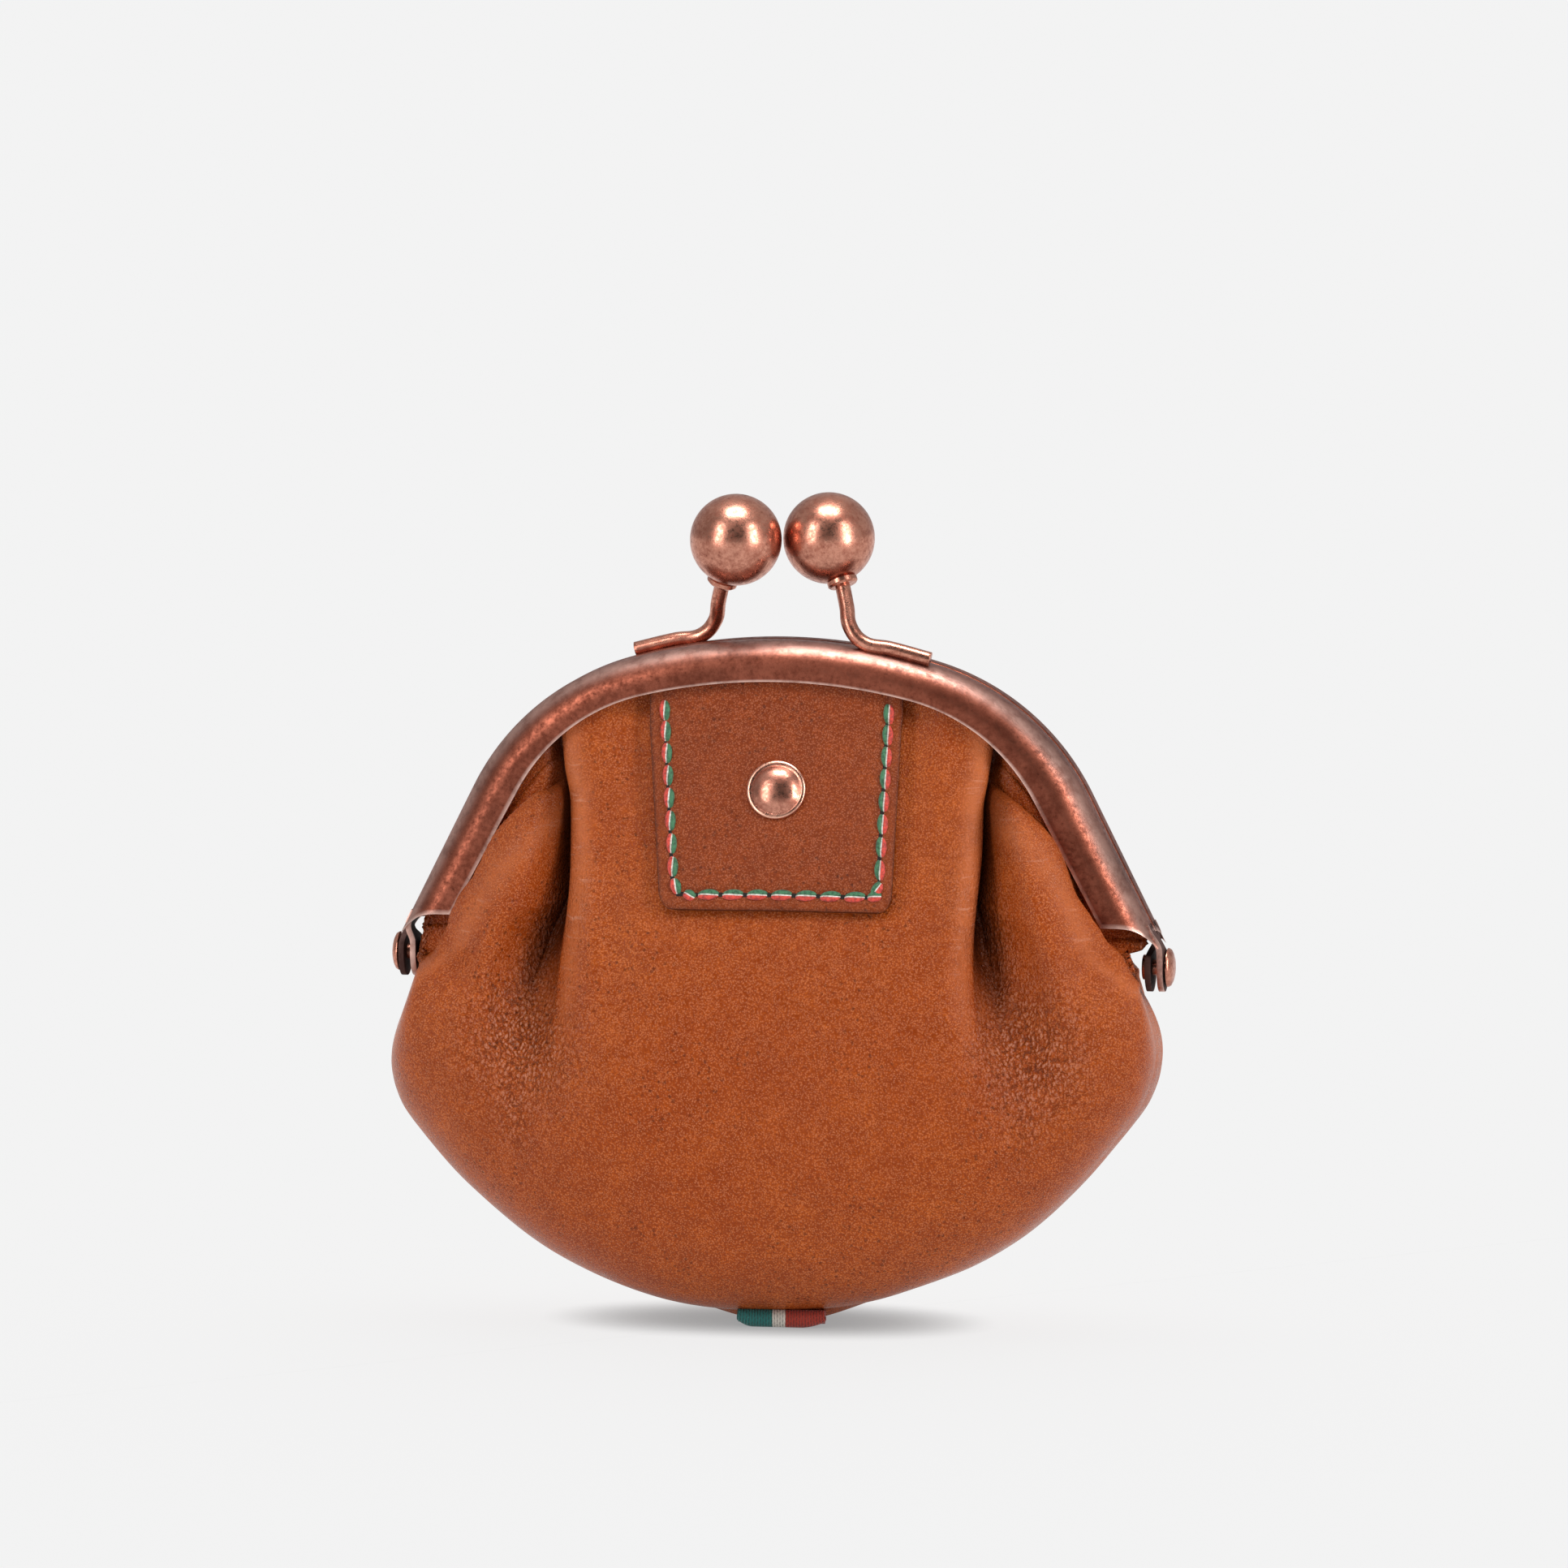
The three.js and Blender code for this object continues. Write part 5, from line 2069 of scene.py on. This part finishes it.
    def stitch_frame(self, across: float, down: float, run: float, height: float) -> Matrix:
        """Give the frame of a stitch on the tab: X along its run, Z out of the leather.

        Args:
            across: distance from the middle.
            down: distance from the leather's edge inside the frame.
            run: angle of the stitch's run from the tab's width, in degrees.
            height: distance out of the panel's middle surface.

        Returns:
            The frame.
        """
        place, normal = self.surface(np.array([across]), np.array([down]), height)
        out = Vector(normal[0])
        right = Vector((1.0, 0.0, 0.0))
        right = (right - out * right.dot(out)).normalized()
        up = out.cross(right)
        angle = math.radians(run)
        along = right * math.cos(angle) + up * math.sin(angle)
        inner = out.cross(along)
        turn = Matrix((along, inner, out)).transposed().to_4x4()
        return Matrix.Translation(Vector(place[0]) * MM) @ turn

    def build_stitches(self) -> tuple[Piece, Piece]:
        """Sew the tab: copies of one stitch along its sides and its bottom, with near-black discs between
        them as painted shade in the needle holes.

        Returns:
            The stitches and the dark discs of painted hole shade.
        """
        first = self.stitch()
        hole = Bench.turned("needle_hole_shade", self.hole_profile, self.hole_sides)
        hole.data.materials.append(NEEDLE_HOLE_SHADE.make())
        height = self.lift + self.thickness - self.groove_depth
        stitches, holes = [], []
        for number, (across, down, run, share) in enumerate(self.stitch_rows()):
            frame_here = self.stitch_frame(across, down, run, height)
            stitch = Bench.copy(first, f"stitch_{number}")
            Bench.settle(stitch, frame_here @ Matrix.Diagonal((share, 1.0, 1.0, 1.0)))
            stitches.append(stitch)
            for end in (-1.0, 1.0):
                spot = Bench.copy(hole, f"hole_{number}")
                reach = end * share * (self.stitch_length / 2 + self.hole_gap) * MM
                Bench.settle(spot, frame_here @ Matrix.Translation((reach, 0.0, 0.0)))
                holes.append(spot)
        bpy.data.objects.remove(first)
        bpy.data.objects.remove(hole)
        return Bench.join("tab_stitches", stitches), Bench.join("tab_needle_hole_shade", holes)

    def build_stud(self) -> Piece:
        """Turn the plain domed stud.

        Returns:
            The stud, set on the tab.
        """
        stud = Bench.turned("tab_stud", self.stud_profile, self.stud_sides)
        height = self.lift + self.thickness + self.stud_lift
        Bench.settle(stud, self.stitch_frame(0.0, self.top - self.stud_z, 0.0, height))
        Bench.smooth(stud, degrees=50.0)
        places = Bench.places(stud)
        reach = np.linalg.norm(places - places.mean(axis=0), axis=1)
        rim = max(radius for radius, _ in self.stud_profile)
        start, end = self.stud_worn
        Bench.mark(stud, "wear", smoothstep(reach, rim - start, rim - end))
        return stud

    def build(self) -> None:
        """Make, dress and place the tab, its stitches and its stud."""
        tab = self.build_tab()
        stitches, holes = self.build_stitches()
        stud = self.build_stud()
        for piece in (stitches, holes):
            Bench.smooth(piece, degrees=70.0)
        fit(tab, TAB_LEATHER.make(), "tab")
        fit(stitches, None)
        fit(holes, None)
        fit(stud, bpy.data.materials[CLASP_COPPER.name], "stud")


@dataclass
class RibbonTag:
    """The striped ribbon, folded into a short tag that lies on the ground under the bottom seam."""

    width: float = 11.2
    thickness: float = 0.5
    height: float = 1.3
    nose_height: float = 2.3
    front: float = -7.2
    back: float = 0.5
    left_corner: float = 2.0
    right_corner: float = 3.2
    left_curl: float = 0.8
    right_curl: float = 0.8
    nose_reach: float = 4.0
    lean: float = 0.15
    columns: int = 180
    straight_rows: int = 22
    fold_rows: int = 14

    def build(self) -> Piece:
        """Fold the ribbon over at the front and press it flat.

        Returns:
            The tag with its lay attribute.
        """
        x = np.linspace(-self.width / 2, self.width / 2, self.columns + 1)
        left = 1.0 - np.clip((x - x[0]) / self.left_corner, 0.0, 1.0)
        right = 1.0 - np.clip((x[-1] - x) / self.right_corner, 0.0, 1.0)
        low = self.left_curl * left**2 + self.right_curl * right**2
        radius = (self.nose_height - low - self.thickness) / 2
        nose = self.front + self.thickness / 2 + radius.max()
        share = np.linspace(0.0, 1.0, self.straight_rows, endpoint=False)
        puff = smoothstep(lerp(self.back, nose, share), nose, nose + self.nose_reach)
        upper = lerp(self.nose_height, self.height, puff) - self.thickness / 2
        angle = np.linspace(math.pi / 2, -math.pi / 2, self.fold_rows)
        middle = self.nose_height - self.thickness / 2 - radius
        flat_y = np.repeat(lerp(self.back, nose, share)[:, None], len(x), axis=1)
        flat_z = np.repeat(upper[:, None], len(x), axis=1)
        under = self.thickness / 2 + low[None, :] * (1.0 - puff)[:, None]
        y = np.concatenate([flat_y, nose - radius * np.cos(angle)[:, None], flat_y[::-1]])
        z = np.concatenate([flat_z, middle + radius * np.sin(angle)[:, None], under[::-1]])
        half = len(x) // 2
        run = np.concatenate([[0.0], np.cumsum(np.hypot(np.diff(y[:, half]), np.diff(z[:, half])))])
        grid = np.stack([x - self.lean * np.minimum(y, 0.0), y, z], axis=-1)
        tag = Bench.sheet("ribbon_tag", grid)
        lay = np.zeros(grid.shape)
        lay[..., 0] = x[None, :] * MM
        lay[..., 1] = run[:, None] * MM
        Bench.mark(tag, "lay", lay.reshape(-1, 3))
        Bench.modify(tag, "SOLIDIFY", thickness=self.thickness * MM, offset=0.0, use_even_offset=True)
        Bench.smooth(tag, degrees=60.0)
        self.flat = (self.width * MM, float(run[-1]) * MM)
        return tag

    def dress(self, tag: Piece) -> None:
        fit(tag, STRIPED_WEAVE.make(), "ribbon")


def aimed(name: str, data: bpy.types.ID, target: Vector, away: Vector, distance: float) -> Piece:
    """Set up a lamp or a camera that faces a target.

    Args:
        name: its name.
        data: the lamp or the camera.
        target: what it faces, in metres.
        away: the direction from the target to it.
        distance: how far it is, in metres.

    Returns:
        The lamp or the camera in its place.
    """
    holder = bpy.data.objects.new(name, data)
    bpy.context.scene.collection.objects.link(holder)
    holder.location = target + away * distance
    holder.rotation_euler = (-away).to_track_quat("-Z", "Y").to_euler()
    return holder


class Lit(Enum):
    """What a lamp lights."""

    COPPER = "copper_pieces"
    LEATHER = "leather_pieces"
    GROUND = "ground_pieces"


@dataclass
class Softbox:
    """A soft lamp that faces the purse: its bearing from the front, its height angle, distance and size."""

    name: str
    lights: Lit
    bearing: float
    elevation: float
    distance: float
    width: float
    height: float
    power: float

    def build(self, target: Vector) -> Piece:
        """Hang the lamp.

        Args:
            target: what it faces.

        Returns:
            The lamp.
        """
        lamp = bpy.data.lights.new(self.name, "AREA")
        lamp.shape = "RECTANGLE"
        lamp.size, lamp.size_y, lamp.energy = self.width, self.height, self.power
        return aimed(self.name, lamp, target, direction(self.bearing, self.elevation), self.distance)


@dataclass
class Studio:
    """The pale ground, the soft lamps, the white room and the camera."""

    target: Point = (0.2, 0.0, 69.1)
    bearing: float = 10.0
    elevation: float = 6.5
    distance: float = 1.8
    lens: float = 324.0
    sensor: float = 36.0
    ground_size: float = 80.0
    room: Colour = (1.0, 1.0, 1.0, 1.0)
    room_strength: float = 0.5
    front_share: float = 0.08
    room_fade: Span = (-0.9, 0.1)
    clip_end: float = 200.0
    ground_light: float = 0.9
    ground_light_spread: float = 90.0
    ground_light_tilt: float = 30.0
    lamps: tuple[Softbox, ...] = field(
        default_factory=lambda: (
            Softbox("left_strip", Lit.COPPER, -35.0, 20.0, 0.75, 0.2, 0.6, 3.0),
            Softbox("right_strip", Lit.COPPER, 57.0, 18.0, 0.75, 0.16, 0.6, 4.0),
            Softbox("top_box", Lit.COPPER, 10.0, 80.0, 0.6, 0.34, 0.2, 4.0),
            Softbox("left_box", Lit.LEATHER, -52.0, 16.0, 0.8, 0.2, 0.6, 2.2),
            Softbox("right_box", Lit.LEATHER, 66.0, 24.0, 0.8, 0.2, 0.6, 3.6),
            Softbox("front_box", Lit.LEATHER, 6.0, 48.0, 0.9, 0.4, 0.3, 2.6),
        )
    )

    def camera(self) -> None:
        """Set the camera at the viewing angle."""
        away = direction(self.bearing, self.elevation)
        data = bpy.data.cameras.new("camera")
        data.lens, data.sensor_width, data.clip_end = self.lens, self.sensor, self.clip_end
        bpy.context.scene.camera = aimed("camera", data, Vector(self.target) * MM, away, self.distance)

    def ground(self) -> None:
        """Lay the pale ground."""
        Bench.clear()
        bpy.ops.mesh.primitive_plane_add(size=self.ground_size)
        ground = Bench.named("ground")
        ground.data.materials.append(GROUND.make())
        ground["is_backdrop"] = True
        lamp = bpy.data.lights.new("ground_light", "SUN")
        lamp.energy = self.ground_light
        lamp.angle = math.radians(self.ground_light_spread)
        holder = bpy.data.objects.new("ground_light", lamp)
        holder.rotation_euler = (-math.radians(self.ground_light_tilt), 0.0, 0.0)
        bpy.context.scene.collection.objects.link(holder)
        self.lit = {lit: bpy.data.collections.new(lit.value) for lit in Lit}
        self.lit[Lit.GROUND].objects.link(ground)
        holder.light_linking.receiver_collection = self.lit[Lit.GROUND]

    def room_light(self) -> None:
        """Light the room evenly, dimmer on the camera's side."""
        world = bpy.data.worlds.new("room")
        bpy.context.scene.world = world
        world.use_nodes = True
        nodes, links = world.node_tree.nodes, world.node_tree.links
        nodes.clear()
        place = nodes.new("ShaderNodeTexCoord")
        split = nodes.new("ShaderNodeSeparateXYZ")
        fade = nodes.new("ShaderNodeMapRange")
        fade.interpolation_type = "SMOOTHSTEP"
        near, far = self.room_fade
        dim = self.front_share * self.room_strength
        ends = {"From Min": near, "From Max": far, "To Min": dim, "To Max": self.room_strength}
        for name, value in ends.items():
            fade.inputs[name].default_value = value
        light = nodes.new("ShaderNodeBackground")
        light.inputs["Color"].default_value = self.room
        output = nodes.new("ShaderNodeOutputWorld")
        links.new(place.outputs["Generated"], split.inputs[0])
        links.new(split.outputs["Y"], fade.inputs["Value"])
        links.new(fade.outputs[0], light.inputs["Strength"])
        links.new(light.outputs[0], output.inputs[0])

    def light(self) -> None:
        """Hang the lamps: strips and a top box for the copper, and wide boxes for the rest of the purse."""
        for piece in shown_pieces():
            copper = piece.data.materials[0].name in (FRAME_COPPER.name, CLASP_COPPER.name)
            self.lit[Lit.COPPER if copper else Lit.LEATHER].objects.link(piece)
        for lamp in self.lamps:
            holder = lamp.build(Vector(self.target) * MM)
            holder.light_linking.receiver_collection = self.lit[lamp.lights]

    def build(self) -> None:
        """Set the stage round the finished purse."""
        bpy.context.scene.view_settings.view_transform = "Standard"
        self.ground()
        self.room_light()
        self.light()
        self.camera()


def main() -> None:
    """Build the purse piece by piece, then its stage."""
    logging.basicConfig(level=logging.INFO, format="%(name)s: %(message)s")
    half = FrameHalf()
    half.dress(half.build())
    rivets = HingeRivets()
    rivets.dress(rivets.build())
    form = PouchForm()
    for side in Side:
        panel = LeatherPanel(form, side)
        panel.dress(panel.build())
    FrontTab(form).build()
    tag = RibbonTag()
    tag.dress(tag.build())
    Studio().build()


if __name__ == "__main__":
    main()
